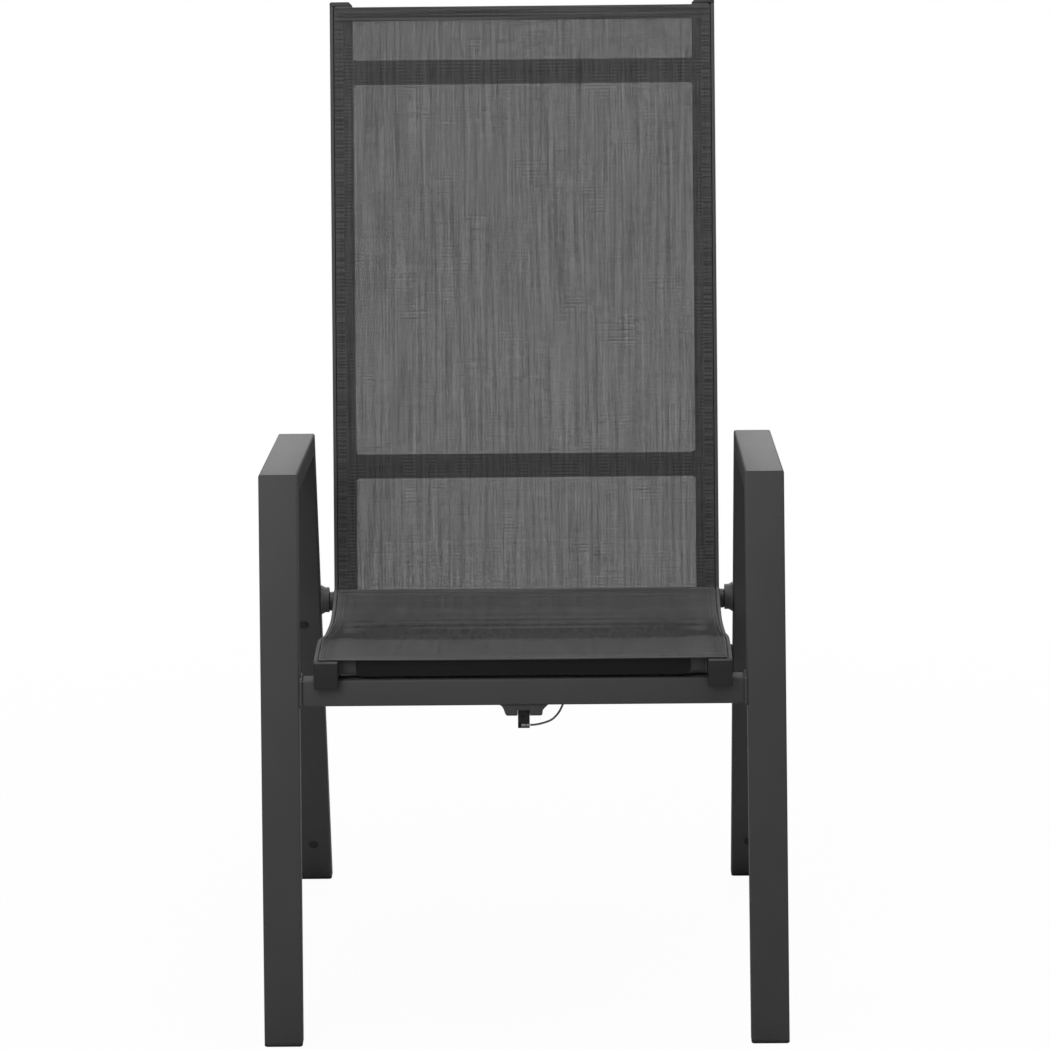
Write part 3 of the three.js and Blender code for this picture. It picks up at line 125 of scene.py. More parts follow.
# The sling's weave
WEAVE_PITCH_ACROSS = 0.00105
WEAVE_PITCH_ALONG = 0.00095
HOLE_HALF_SHARE = 0.162
HOLE_STREAK = 0.22
HOLE_ROW = 0.12
HOLE_LOW = 0.008
HOLE_LOW_REACH = 0.3
HOLE_EDGE = 0.02
YARN_WANDER = 0.00012
YARN_DARK = 0.009
YARN_PALE = 0.048
YARN_SHEEN = 0.2
HATCH_ROWS = 4.3
HATCH_LINES = 3.4

# Back
PIVOT_HEIGHT = 0.406
BACK_LEAN = math.radians(12)
BACK_ABOVE_PIVOT = 0.716
BACK_BELOW_PIVOT = 0.096
UPPER_BAR_UP = 0.637
LOWER_BAR_UP = 0.162
BACK_BAR_WIDTH = 0.029
BACK_BAR_DEPTH = 0.014
BACK_BAR_CORNER = 0.003
BAR_WALL = 0.0016
BAR_EDGE = 0.0003
BACK_SLING_TOP = 0.7148
BACK_SLING_FOOT = -0.010
BOTTOM_BAR_DOWN = 0.080
BOTTOM_BAR_WIDTH = 0.025

# Seat
SEAT_FRONT = -0.004
SEAT_TO_BACK = 0.0103
GLIDE_ROOM = 0.0047
SEAT_LOW_OVER_PIVOT = 0.0024
SEAT_LINE_SHARES = [
    (0, 0.035), (0.05, 0.004), (0.2, 0.01), (0.33, 0.25), (0.485, 0.6), (0.65, 0.85), (0.79, 1), (0.87, 0.975),
    (0.935, 0.82), (1, 0.6),
]
SEAT_SLING_END = 0.0025
FRONT_TUBE_AT = 0.016
FRONT_TUBE_DEPTH = 0.020
FRONT_TUBE_HEIGHT = 0.017
MIDDLE_BAR_TO_END = 0.223
REAR_BAR_TO_END = 0.078
SEAT_BAR_WIDTH = 0.024
SEAT_BAR_DEPTH = 0.012
BAR_BELOW_SLING = 0.0075
STRIP_INSET = 0.0195
STRIP_THICKNESS = 0.002
STRIP_CORNER = 0.007
STRIP_LAP = 0.0024
STRIP_EDGE = 0.0006
HINGE_DOWN = 0.040
HINGE_PLATE_THICKNESS = 0.004

# Pivots
LUG_THICKNESS = 0.010
BUSH_RADIUS = 0.0115
BUSH_THICKNESS = 0.0052
BUSH_LIP = 0.0006
BUSH_EDGE = 0.0007
BUSH_HOLE = 0.0042
RAIL_WASHER_SLIT = 0.0009
BOLT_RADIUS = 0.004
BOLT_IN_LUG = 0.0067
BOLT_HEAD_RADIUS = 0.007
BOLT_HEAD_THICKNESS = 0.0045
RIVET_HEAD = 0.003
RIVET_SHORT_OF_RAIL = 0.0018

# Gas spring
SPRING_BEHIND_CROSSBAR = 0.007
SPRING_BELOW_CROSSBAR = 0.010
SPRING_REAR_REACH = 0.026
SPRING_PIN_RADIUS = 0.003
SPRING_REAR_PLAY = 0.0034
CHEEK_THICKNESS = 0.003
YOKE_PLATE = 0.003
YOKE_LAP = 0.0006
YOKE_EDGE = 0.0006
HEAD_WIDTH = 0.013
HEAD_PLAY = 0.0004
HEAD_FRONT = 0.009
HEAD_BACK = 0.018
FERRULE_RADIUS = 0.0023
FERRULE_LENGTH = 0.0096
FERRULE_SETBACK = 0.0012
FERRULE_DROP = 0.019
ROD_RADIUS = 0.004
ROD_LENGTH = 0.118
ROD_SEAT = 0.009
ROD_VISIBLE = 0.062
CYLINDER_RADIUS = 0.011
CYLINDER_TAIL = 0.044
EYE_WIDTH = 0.012
EYE_PLAY = 0.0008
EYE_WALL = 0.0046
TAIL_RADIUS = 0.005
SMALL_EDGE = 0.0005

# Release lever and cable
LEVER_BEHIND_LEG = 0.038
LEVER_PIN_DROP = 0.011
LEVER_WIDTH = 0.019
LEVER_LENGTH = 0.088
LEVER_TIP_DROP = 0.013
LEVER_ROOT_HALF = 0.0055
LEVER_TIP_HALF = 0.003
RIB_COUNT = 7
FIRST_RIB_SHARE = 0.55
RIB_STEP_SHARE = 0.06
RIB = (0.0013, 0.0026, 0.0012, 0.0012)
CABLE_RADIUS = 0.0012

# The release cable's route, from the spring's head to the lever's housing, measured from the front legs' faces
CABLE_ROUTE = [
    (0.007, 0.0239, 0.366), (0.012, 0.024, 0.3662), (0.020, 0.0244, 0.3676), (0.031, 0.0252, 0.3715),
    (0.0388, 0.027, 0.379), (0.0432, 0.0289, 0.387), (0.047, 0.0296, 0.3945), (0.056, 0.0295, 0.4015),
    (0.070, 0.0292, 0.405), (0.090, 0.0292, 0.406), (0.135, 0.0292, 0.406), (0.180, 0.0292, 0.406),
    (0.225, 0.0292, 0.406), (0.246, 0.0288, 0.4085), (0.261, 0.028, 0.420), (0.2675, 0.0274, 0.440),
    (0.2683, 0.0272, 0.480), (0.2679, 0.0272, 0.530), (0.2674, 0.0272, 0.575), (0.2673, 0.0275, 0.598),
    (0.2673, 0.031, 0.612), (0.2673, 0.0346, 0.6155), (0.2673, 0.038, 0.6163), (0.2673, 0.041, 0.6162),
]

# The outer edges of the yoke's wings: how far from the middle, and how far below the crossbar
YOKE_EDGES = {
    -1: [(0.0262, 0.0), (0.0246, 0.0007), (0.0232, 0.0024), (0.0221, 0.0046), (0.0212, 0.0072), (0.0204, 0.0096),
         (0.0194, 0.0113), (0.0181, 0.0121)],
    1: [(0.0276, 0.0), (0.0262, 0.0008), (0.0250, 0.0022), (0.0236, 0.0035), (0.0222, 0.0049), (0.0214, 0.0066),
        (0.0211, 0.0098), (0.0207, 0.0114), (0.0196, 0.0121)],
}

# Camera and light
CAMERA_PLACE = (0.05957, -5.46673, 1.67847)
CAMERA_TURN = -0.01087
CAMERA_DOWN = 0.20787
CAMERA_ROLL = -0.01066
CAMERA_LENS_PX = 4761.9
PHOTO_PX = 1050
SENSOR_WIDTH = 36
ROOM_LIGHT = 0.2
FLOOR_HALF = 3.5
FLOOR_DROP = 0.0004
FLOOR_TONE = 0.55
FLOOR_GLOW = 0.968
FLOOR_GLOW_FROM = 0.5
FLOOR_GLOW_FULL = 2.4

# Lamps: place, what they point at, width and depth, power in watts
LAMPS = {
    "overhead_softbox": ((0.3, -0.3, 3.0), (0.1, 0.0, 0.4), (3.0, 2.6), 106),
    "front_softbox": ((-0.9, -1.6, 1.5), (-0.1, 0, 0.3), (0.9, 0.9), 14.5),
    "rear_softbox": ((0.0, 2.4, 2.1), (0.0, 0.2, 0.5), (1.6, 0.8), 22),
}

ALONG_X = Vector((1, 0, 0))
ALONG_Y = Vector((0, 1, 0))
ALONG_Z = Vector((0, 0, 1))
SIDES = (("left", -1), ("right", 1))
SHARP_ANGLE = math.radians(32)
FRONT_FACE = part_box("left_front_leg")[0].y


def spot(x, y, z):
    """A place given from the front legs' faces, in the frame's own measure."""
    return Vector((x, y + FRONT_FACE, z))


def to_scene(name, data):
    made = bpy.data.objects.new(name, data)
    bpy.context.scene.collection.objects.link(made)
    return made


# --- Camera and cable ---------------------------------------------------------------------------------------------


def aim_camera():
    ahead = Vector((
        math.sin(CAMERA_TURN) * math.cos(CAMERA_DOWN),
        math.cos(CAMERA_TURN) * math.cos(CAMERA_DOWN),
        -math.sin(CAMERA_DOWN),
    ))
    level = Vector((math.cos(CAMERA_TURN), -math.sin(CAMERA_TURN), 0))
    upright = level.cross(ahead)
    right = math.cos(CAMERA_ROLL) * level + math.sin(CAMERA_ROLL) * upright
    up = -math.sin(CAMERA_ROLL) * level + math.cos(CAMERA_ROLL) * upright
    data = bpy.data.cameras.new("picture_camera")
    data.sensor_width = SENSOR_WIDTH
    data.lens = CAMERA_LENS_PX / PHOTO_PX * SENSOR_WIDTH
    camera = to_scene("picture_camera", data)
    camera.matrix_world = Matrix.Translation(CAMERA_PLACE) @ Matrix((right, up, -ahead)).transposed().to_4x4()
    bpy.context.scene.camera = camera


def smooth_route(points, steps):
    """Points on the smooth curve through the route, close together."""
    line = []
    for i in range(len(points) - 1):
        leave = (points[i + 1] - points[max(i - 1, 0)]) / 2
        arrive = (points[min(i + 2, len(points) - 1)] - points[i]) / 2
        for k in range(steps):
            t = k / steps
            line.append(
                points[i] * (2 * t ** 3 - 3 * t ** 2 + 1)
                + leave * (t ** 3 - 2 * t ** 2 + t)
                + points[i + 1] * (3 * t ** 2 - 2 * t ** 3)
                + arrive * (t ** 3 - t ** 2)
            )
    return [*line, points[-1]]


def route_length(points):
    return sum((b - a).length for a, b in zip(points, points[1:]))


def lay_cable():
    """The release cable: a curve with a round sheath."""
    line = smooth_route([spot(*place) for place in CABLE_ROUTE], 4)
    data = bpy.data.curves.new("release_cable_sheath", "CURVE")
    data.dimensions = "3D"
    spline = data.splines.new("POLY")
    spline.points.add(len(line) - 1)
    for knot, place in zip(spline.points, line):
        knot.co = (*place, 1)
    data.bevel_depth = CABLE_RADIUS
    data.bevel_resolution = 4
    data.use_fill_caps = True
    return to_scene("release_cable_sheath", data), line


aim_camera()
release_cable, cable_line = lay_cable()


# --- Finishes -----------------------------------------------------------------------------------------------------


class Nodes:
    """A tree of nodes, with short ways to add and join them."""

    def __init__(self, tree):
        self.tree = tree

    def put(self, value, socket):
        if isinstance(value, bpy.types.NodeSocket):
            self.tree.links.new(value, socket)
        else:
            socket.default_value = value

    def add(self, kind, sockets=None, **settings):
        """A node with its settings, and what goes into its sockets by name or number."""
        made = self.tree.nodes.new(kind)
        for key, value in settings.items():
            setattr(made, key, value)
        for key, value in (sockets or {}).items():
            self.put(value, made.inputs[key])
        return made

    def calc(self, operation, *values, clamp=False):
        made = self.add("ShaderNodeMath", dict(enumerate(values)), operation=operation, use_clamp=clamp)
        return made.outputs[0]

    def times(self, a, b):
        return self.calc("MULTIPLY", a, b)

    def less(self, a, b):
        return self.calc("SUBTRACT", a, b)

    def plus(self, total, *others):
        for value in others:
            total = self.calc("ADD", total, value)
        return total


class Board(Nodes):
    """A material's nodes."""

    def __init__(self, name):
        self.material = bpy.data.materials.new(name)
        self.material.use_nodes = True
        super().__init__(self.material.node_tree)
        self.shader = self.tree.nodes["Principled BSDF"]

    def between(self, share, low, high):
        """A plain mix of two numbers or sockets."""
        mix = self.add("ShaderNodeMix", {"Factor": share, "A": low, "B": high}, data_type="FLOAT")
        return mix.outputs["Result"]

    def tones(self, share, dark, pale, warmth=0.0):
        """A grey between two tones."""
        low, high = ((tone * (1 + warmth), tone, tone * (1 - warmth), 1) for tone in (dark, pale))
        mix = self.add("ShaderNodeMix", {"Factor": share, 6: low, 7: high}, data_type="RGBA")
        return mix.outputs[2]

    def ramp(self, value, low, high, low_to=0.0, high_to=1.0):
        sockets = dict(enumerate((value, low, high, low_to, high_to)))
        return self.add("ShaderNodeMapRange", sockets, interpolation_type="SMOOTHSTEP").outputs[0]

    def place(self):
        return self.add("ShaderNodeTexCoord").outputs["Object"]

    def grain(self, scale, detail, stretch=None, rough=0.5, place=None):
        """Noise on the object's own place or another, its three sizes stretched where that is given."""
        place = place or self.place()
        if stretch:
            place = self.add("ShaderNodeMapping", {"Vector": place, "Scale": stretch}).outputs[0]
        sockets = {"Vector": place, "Scale": scale, "Detail": detail, "Roughness": rough}
        return self.add("ShaderNodeTexNoise", sockets).outputs["Fac"]

    def blend(self, shift, grains):
        """A sum of grains, each a strength and how the grain is made."""
        return self.plus(shift, *(self.times(self.grain(*how), strength) for strength, *how in grains))

    def relief(self, height, strength, distance):
        bump = self.add("ShaderNodeBump", {"Strength": strength, "Distance": distance, "Height": height})
        self.put(bump.outputs[0], self.shader.inputs["Normal"])

    def dress(self, colour, rough, **looks):
        for label, value in {"Base Color": colour, "Roughness": rough, **looks}.items():
            self.put(value, self.shader.inputs[label])


def finish(name, tones, rough, relief, specular=0.5, metal=0.0, warmth=0.0, shift=0.0):
    """A plain finish. Tones and roughness are two values and the grains between them, relief a strength, a depth
    and its grains."""
    board = Board(name)
    dark, pale, *tone_grains = tones
    low, high, *rough_grains = rough
    strength, depth, *relief_grains = relief
    board.dress(
        board.tones(board.blend(shift, tone_grains), dark, pale, warmth),
        board.between(board.blend(0.0, rough_grains), low, high),
        **{"Specular IOR Level": specular, "Metallic": metal},
    )
    board.relief(board.blend(0.0, relief_grains), strength, depth)
    return board.material


def powder_coat(name, dark, pale, low, high, specular):
    """Baked powder on metal: a fine orange peel, a faint cloud in the tone, and an uneven gloss."""
    peel = (1.0, 1500, 2)
    tones = (dark, pale, (0.6, 14, 3), (0.4, 5200, 1))
    return finish(name, tones, (low, high, peel), (0.35, 0.00012, peel, (0.6, 260, 1)), specular)


def moulded_plastic(name, dark, pale, specular):
    """Black nylon: a fine spark-eroded grain and slightly shiny rubbed places."""
    rub = (1.0, 45, 2)
    return finish(name, (dark, pale, rub), (0.55, 0.44, rub), (0.4, 0.00008, (1.0, 2600, 2)), specular)


def plated_steel(name, dark, pale, low, high):
    """Zinc-plated steel: fine turning lines and small dull blooms."""
    lines = (1.0, 900, 2, (0.15, 1, 1))
    return finish(name, (dark, pale, (1.0, 180, 3)), (low, high, lines), (0.2, 0.00005, lines), metal=1.0, warmth=0.02)


def cable_sheath():
    haze = (1.0, 320, 2)
    return finish("grey_cable_sheath", (0.09, 0.13, haze), (0.38, 0.5, haze), (0.15, 0.00008, haze), 0.35)


def sewing_thread():
    twist = (1.0, 4200, 1)
    return finish("sewing_thread", (0.018, 0.05, twist), (0.55, 0.75, twist), (0.5, 0.0001, twist))


def yarn_core():
    """The yarns' middles in streaks with flecks, in a tone darker than the cloth's face: painted shade between the
    yarns, where the cloth is seen at a slant.
    """
    fleck = (900, 1)
    tones = (0.006, 0.023, (2.6, 1.0, 2, (230, 14, 14), 0.6), (0.8, *fleck))
    return finish("yarn_core", tones, (0.6, 0.75, (1.0, *fleck)), (0.3, 0.0001, (1.0, *fleck)), 0.15, shift=-1.2)


def sling_mesh():
    """Woven coated yarns, two and two, with small square holes between them, closed where the cloth is doubled."""
    board = Board("woven_sling_mesh")
    cloth = board.add("ShaderNodeUVMap", uv_map="weave").outputs[0]
    drift = board.add("ShaderNodeTexNoise", {"Vector": cloth, "Scale": 42, "Detail": 1}).outputs["Color"]
    centred = board.add("ShaderNodeVectorMath", {0: drift, 1: (0.5, 0.5, 0.5)}, operation="SUBTRACT")
    wander = board.add("ShaderNodeVectorMath", {0: centred.outputs[0], "Scale": YARN_WANDER}, operation="SCALE")
    wandered = board.add("ShaderNodeVectorMath", {0: cloth, 1: wander.outputs[0]}, operation="ADD")
    split = board.add("ShaderNodeSeparateXYZ", {0: wandered.outputs[0]})
    across = board.calc("DIVIDE", split.outputs[0], WEAVE_PITCH_ACROSS)
    along = board.calc("DIVIDE", split.outputs[1], WEAVE_PITCH_ALONG)

    def wave(value, turn):
        return board.calc("SINE", board.times(value, turn))

    def rounded(value):
        """The round back of each yarn, two to a bundle."""
        return board.calc("ABSOLUTE", wave(value, 2 * math.pi))

    def streak(across_size, along_size, detail=1, rough=0.5):
        return board.grain(1.0, detail, (across_size, along_size, 1), rough, cloth)

    def about(value, strength):
        return board.times(board.less(value, 0.5), strength)

    def gap(value, half):
        """1 over the gap between two bundles."""
        low, high = (board.plus(half, d) for d in (-HOLE_EDGE, HOLE_EDGE))
        return board.ramp(board.calc("PINGPONG", value, 0.5), low, high, 1.0, 0.0)

    # Over and under change from bundle to bundle
    warp_over = board.ramp(board.times(wave(across, math.pi), wave(along, math.pi)), -0.25, 0.25)
    warp_back = board.times(rounded(across), board.between(warp_over, 0.35, 1.0))
    weft_back = board.times(rounded(along), board.between(warp_over, 1.0, 0.35))
    board.relief(board.calc("MAXIMUM", warp_back, weft_back), 0.6, 0.0002)

    # Yarn tones: long streaks with the warp, shorter ones with the weft, and rows of paler weft
    warp_streak = streak(250, 6, 3, 0.65)
    weft_streak = streak(26, 520, 2, 0.6)
    row_patch = board.ramp(streak(60, 30), 0.46, 0.6)
    line_patch = board.ramp(streak(40, 44), 0.44, 0.6)
    row_hatch = board.times(wave(along, 2 * math.pi / HATCH_ROWS), row_patch)
    line_hatch = board.times(wave(across, 2 * math.pi / HATCH_LINES), line_patch)
    doubled = board.add("ShaderNodeAttribute", attribute_name="doubled").outputs["Fac"]
    single = board.less(1.0, board.times(doubled, 0.8))
    tone = board.plus(
        0.5,
        board.times(board.plus(about(warp_streak, 2.2), about(streak(700, 48), 1.0)), single),
        about(weft_streak, 0.6),
        about(streak(1.5, 62), 0.4),
        board.times(about(streak(4, 360), 4.0), doubled),
    )
    tone = board.calc("ADD", tone, board.times(row_hatch, 0.3), clamp=True)
    looks = {"Specular IOR Level": 0.22, "Sheen Weight": YARN_SHEEN, "Sheen Roughness": 0.45}
    board.dress(board.tones(tone, YARN_DARK, YARN_PALE), board.between(tone, 0.5, 0.62), **looks)

    # Holes: wider between the pale streaks, a little shorter towards the sling's foot
    low_hole = board.ramp(split.outputs[1], 0.0, HOLE_LOW_REACH, HOLE_LOW, 0.0)
    width = board.less(board.plus(HOLE_HALF_SHARE, about(warp_streak, HOLE_STREAK)), board.times(line_hatch, 0.03))
    length = board.less(board.plus(HOLE_HALF_SHARE, about(weft_streak, HOLE_ROW)), low_hole)
    length = board.less(length, board.times(row_hatch, 0.05))
    closed = board.less(1.0, board.times(gap(across, width), gap(along, length)))
    board.put(board.calc("MAXIMUM", closed, doubled, clamp=True), board.shader.inputs["Alpha"])
    return board.material


COAT = powder_coat("charcoal_powder_coat", 0.040, 0.054, 0.50, 0.60, 0.2)
WELD = powder_coat("coated_weld", 0.036, 0.050, 0.45, 0.55, 0.24)
PAINT = powder_coat("black_spring_paint", 0.010, 0.015, 0.26, 0.36, 0.5)
PLASTIC = moulded_plastic("moulded_black_plastic", 0.007, 0.012, 0.28)
# The seat's edge strip: a darker copy of the black plastic, partly its own matt tone and partly painted shade under the
# seat's front
SHADE_DARKENED_STRIP = moulded_plastic("matt_edge_strip", 0.006, 0.009, 0.12)
STEEL = plated_steel("plated_steel", 0.42, 0.6, 0.24, 0.4)
CRIMP = plated_steel("crimped_dull_steel", 0.17, 0.27, 0.42, 0.55)
SHEATH = cable_sheath()
THREAD = sewing_thread()
MESH_CLOTH = sling_mesh()
# The yarn middles' dark tone is painted shade between the yarns
SHADE_PAINTED_YARN = yarn_core()

FINISHES = {
    "coated_aluminium": (COAT, WELD),
    "coated_steel": (PAINT,),
    "bright_steel": (STEEL, CRIMP),
    "black_plastic": (PLASTIC, SHADE_DARKENED_STRIP),
    "cable_sheath": (SHEATH,),
    "sling_mesh": (MESH_CLOTH, THREAD, SHADE_PAINTED_YARN),
}
SLOT_OF = {material.name: slot for slot, materials in FINISHES.items() for material in materials}


def settle_in(piece, body, *nodes):
    """Names the body that carries the piece, and the solids that it stands for."""
    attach(piece, body)
    if nodes:
        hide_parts(*nodes)


# --- Mesh making --------------------------------------------------------------------------------------------------


@contextmanager
def opened(mesh):
    """A mesh open for work, written back at the end."""
    work = bmesh.new()
    work.from_mesh(mesh)
    yield work
    work.to_mesh(mesh)
    work.free()


def place_mesh(name, mesh, material):
    mesh.materials.clear()
    mesh.materials.append(material)
    return to_scene(name, mesh)


def settle(piece):
    """Turns what the modifiers make into the piece's own mesh, smooth but for its sharp edges."""
    depsgraph = bpy.context.evaluated_depsgraph_get()
    mesh = bpy.data.meshes.new_from_object(piece.evaluated_get(depsgraph))
    piece.modifiers.clear()
    piece.data = mesh
    mesh.shade_smooth()
    mesh.set_sharp_from_angle(angle=SHARP_ANGLE)
    return piece


def soften(piece, width, segments, angle=SHARP_ANGLE):
    if width:
        bevel = piece.modifiers.new("edges", "BEVEL")
        bevel.width = width
        bevel.segments = segments
        bevel.limit_method = "ANGLE"
        bevel.angle_limit = angle
        bevel.use_clamp_overlap = True
        bevel.miter_outer = "MITER_ARC"
    return settle(piece)


def made_of(name, corners, faces, material, bevel=0.0, segments=2):
    mesh = bpy.data.meshes.new(name)
    mesh.from_pydata([tuple(c) for c in corners], [], faces)
    with opened(mesh) as work:
        bmesh.ops.recalc_face_normals(work, faces=work.faces)
    return soften(place_mesh(name, mesh, material), bevel, segments)


def lofted(name, rings, material, inner=None, bevel=0.0, segments=2, closed=False):
    """A skin over rings of corners: solid with flat ends, hollow with inner rings, or closed on itself."""
    count = len(rings[0])
    corners, faces = [], []

    def wall(stack):
        """Adds a stack of rings, and returns the numbers of its first and last rings' first corners."""
        first = len(corners)
        corners.extend(c for ring in stack for c in ring)
        for k in range(len(stack) if closed else len(stack) - 1):
            low = first + k * count
            high = first + ((k + 1) % len(stack)) * count
            for i in range(count):
                j = (i + 1) % count
                faces.append((low + i, low + j, high + j, high + i))
        return first, first + (len(stack) - 1) * count

    ends = wall(rings)
    if inner:
        for outer_end, inner_end in zip(ends, wall(inner)):
            for i in range(count):
                j = (i + 1) % count
                faces.append((outer_end + i, outer_end + j, inner_end + j, inner_end + i))
    elif not closed:
        faces.extend(tuple(range(end, end + count)) for end in ends)
    return made_of(name, corners, faces, material, bevel, segments)


def rounded_outline(width, depth, radius):
    """A rectangle with round corners, as (u, v) pairs round its own middle."""
    steps = 5
    corners = []
    for quarter in range(4):
        u = (width / 2 - radius) * (1 if quarter in (0, 3) else -1)
        v = (depth / 2 - radius) * (1 if quarter < 2 else -1)
        for i in range(steps + 1):
            angle = (quarter + i / steps) * math.pi / 2
            corners.append((u + radius * math.cos(angle), v + radius * math.sin(angle)))
    return corners


def tube_outlines(width, depth, wall, corner, hollow_corner):
    """A tube's outer and inner outlines."""
    inner = rounded_outline(width - 2 * wall, depth - 2 * wall, hollow_corner)
    return rounded_outline(width, depth, corner), inner


def directions(way):
    """A way made one long, and two more square to it."""
    way = Vector(way).normalized()
    side = way.orthogonal().normalized()
    return way, side, way.cross(side)


def turned(name, start, way, profile, material, sides=32, hex_rings=()):
    """A lathe-turned shape: (distance along, radius) pairs from a start along a way. Named rings are six-sided."""
    way, side, other = directions(way)
    corners, faces, rings = [], [], []
    for k, (reach, radius) in enumerate(profile):
        middle = Vector(start) + way * reach
        first = len(corners)
        if radius == 0:
            rings.append([first])
            corners.append(middle)
            continue
        for i in range(sides):
            angle = 2 * math.pi * i / sides
            size = radius
            if k in hex_rings:
                size = radius / math.cos((angle % (math.pi / 3)) - math.pi / 6)
            corners.append(middle + side * (size * math.cos(angle)) + other * (size * math.sin(angle)))
        rings.append(list(range(first, first + sides)))
    for low, high in zip(rings, rings[1:]):
        for i in range(sides):
            j = (i + 1) % sides
            if len(low) == 1:
                faces.append((low[0], high[i], high[j]))
            elif len(high) == 1:
                faces.append((low[i], low[j], high[0]))
            else:
                faces.append((low[i], low[j], high[j], high[i]))
    faces.extend(tuple(ring) for ring in (rings[0], rings[-1]) if len(ring) > 1)
    return made_of(name, corners, faces, material)


def open_ring(name, start, way, profile, material, sides=40):
    """A ring turned from a closed profile, with its hole right through."""
    way, side, other = directions(way)
    rings = []
    for i in range(sides):
        angle = 2 * math.pi * i / sides
        out = side * math.cos(angle) + other * math.sin(angle)
        rings.append([Vector(start) + way * reach + out * radius for reach, radius in profile])
    return lofted(name, rings, material, closed=True)


def from_node(node, name, material, width, segments=2):
    """A fine copy of a frame solid, its edges rounded."""
    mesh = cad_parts[node].data.copy()
    with opened(mesh) as work:
        bmesh.ops.remove_doubles(work, verts=work.verts, dist=0.00001)
        bmesh.ops.dissolve_limit(work, angle_limit=math.radians(1), verts=work.verts, edges=work.edges)
    return soften(place_mesh(name, mesh, material), width, segments, math.radians(35))


def joined(name, pieces):
    """Several meshes of one finish as one piece."""
    mesh = bpy.data.meshes.new(name)
    with opened(mesh) as work:
        for piece in pieces:
            work.from_mesh(piece.data)
    made = place_mesh(name, mesh, pieces[0].data.materials[0])
    for piece in pieces:
        bpy.data.objects.remove(piece)
    mesh.set_sharp_from_angle(angle=SHARP_ANGLE)
    return made


# --- Things along lines: stitches, weld ripples, grip ribs, yarns ---------------------------------------------------


def start_tree(name, numbers):
    """A tree that makes something from lines of points: its nodes, what it is given, and the lines as curves."""
    tree = bpy.data.node_groups.new(name, "GeometryNodeTree")
    for label, kind in (("Lines", "Geometry"), *((number, "Float") for number in numbers), ("Finish", "Material")):
        tree.interface.new_socket(label, in_out="INPUT", socket_type=f"NodeSocket{kind}")
    tree.interface.new_socket("Made", in_out="OUTPUT", socket_type="NodeSocketGeometry")
    nodes = Nodes(tree)
    given = nodes.add("NodeGroupInput").outputs
    return nodes, given, nodes.add("GeometryNodeMeshToCurve", {0: given["Lines"]}).outputs[0]


def end_tree(nodes, given, made):
    real = nodes.add("GeometryNodeRealizeInstances", {0: made.outputs[0]})
    dressed = nodes.add("GeometryNodeSetMaterial", {"Geometry": real.outputs[0], "Material": given["Finish"]})
    nodes.add("NodeGroupOutput", {"Made": dressed.outputs[0]})
    return nodes.tree


def row_tree():
    """Small rounded bodies along lines, a pitch apart and turned with them."""
    nodes, given, curves = start_tree("row_along_line", ("Pitch", "Length", "Width", "Height"))
    spaced = nodes.add("GeometryNodeResampleCurve", {"Curve": curves, "Length": given["Pitch"]}, mode="LENGTH")
    ball = nodes.add("GeometryNodeMeshUVSphere", {"Segments": 8, "Rings": 6, "Radius": 0.5})
    size = nodes.add("ShaderNodeCombineXYZ", {0: given["Length"], 1: given["Width"], 2: given["Height"]})
    shaped = nodes.add("GeometryNodeTransform", {"Geometry": ball.outputs["Mesh"], "Scale": size.outputs[0]})
    tangent = nodes.add("GeometryNodeInputTangent")
    turn = nodes.add("FunctionNodeAlignRotationToVector", {"Vector": tangent.outputs[0]}, axis="X")
    sockets = {"Points": spaced.outputs[0], "Instance": shaped.outputs[0], "Rotation": turn.outputs[0]}
    return end_tree(nodes, given, nodes.add("GeometryNodeInstanceOnPoints", sockets))


def strand_tree():
    """Thin three-sided strands along lines."""
    nodes, given, curves = start_tree("strands_along_lines", ("Radius",))
    ring = nodes.add("GeometryNodeCurvePrimitiveCircle", {"Resolution": 3, "Radius": given["Radius"]})
    sockets = {"Fill Caps": True, "Curve": curves, "Profile Curve": ring.outputs["Curve"]}
    return end_tree(nodes, given, nodes.add("GeometryNodeCurveToMesh", sockets))


ROW_TREE = row_tree()
STRAND_TREE = strand_tree()


def made_by(tree, name, lines, material, **values):
    """A plain mesh that a tree makes from lines of points."""
    corners, edges = [], []
    for line in lines:
        first = len(corners)
        corners.extend(tuple(c) for c in line)
        edges.extend((first + i, first + i + 1) for i in range(len(line) - 1))
    mesh = bpy.data.meshes.new(name)
    mesh.from_pydata(corners, edges, [])
    piece = to_scene(name, mesh)
    maker = piece.modifiers.new("maker", "NODES")
    maker.node_group = tree
    values["Finish"] = material
    for socket in tree.interface.items_tree:
        if socket.in_out == "INPUT" and socket.name in values:
            maker[socket.identifier] = values[socket.name]
    piece.update_tag()
    return settle(piece)


def row_along(name, lines, sizes, material):
    """One mesh of small bodies along lines of points, from their pitch, length, width and height."""
    return made_by(ROW_TREE, name, lines, material, **dict(zip(("Pitch", "Length", "Width", "Height"), sizes)))


def ring_line(corners):
    return [*corners, corners[0]]


# --- Side frames --------------------------------------------------------------------------------------------------


class Bar:
    """A straight bar's middle line, with the directions of its section."""

    def __init__(self, base, across, up):
        self.base, self.across, self.up = Vector(base), Vector(across), Vector(up)
        self.along = self.across.cross(self.up).normalized()

    def ring(self, outline, place, normal):
        """Where the bar's edges meet a plane."""
        corners = []
        for u, v in outline:
            start = self.base + self.across * u + self.up * v
            corners.append(start + self.along * ((place - start).dot(normal) / self.along.dot(normal)))
        return corners


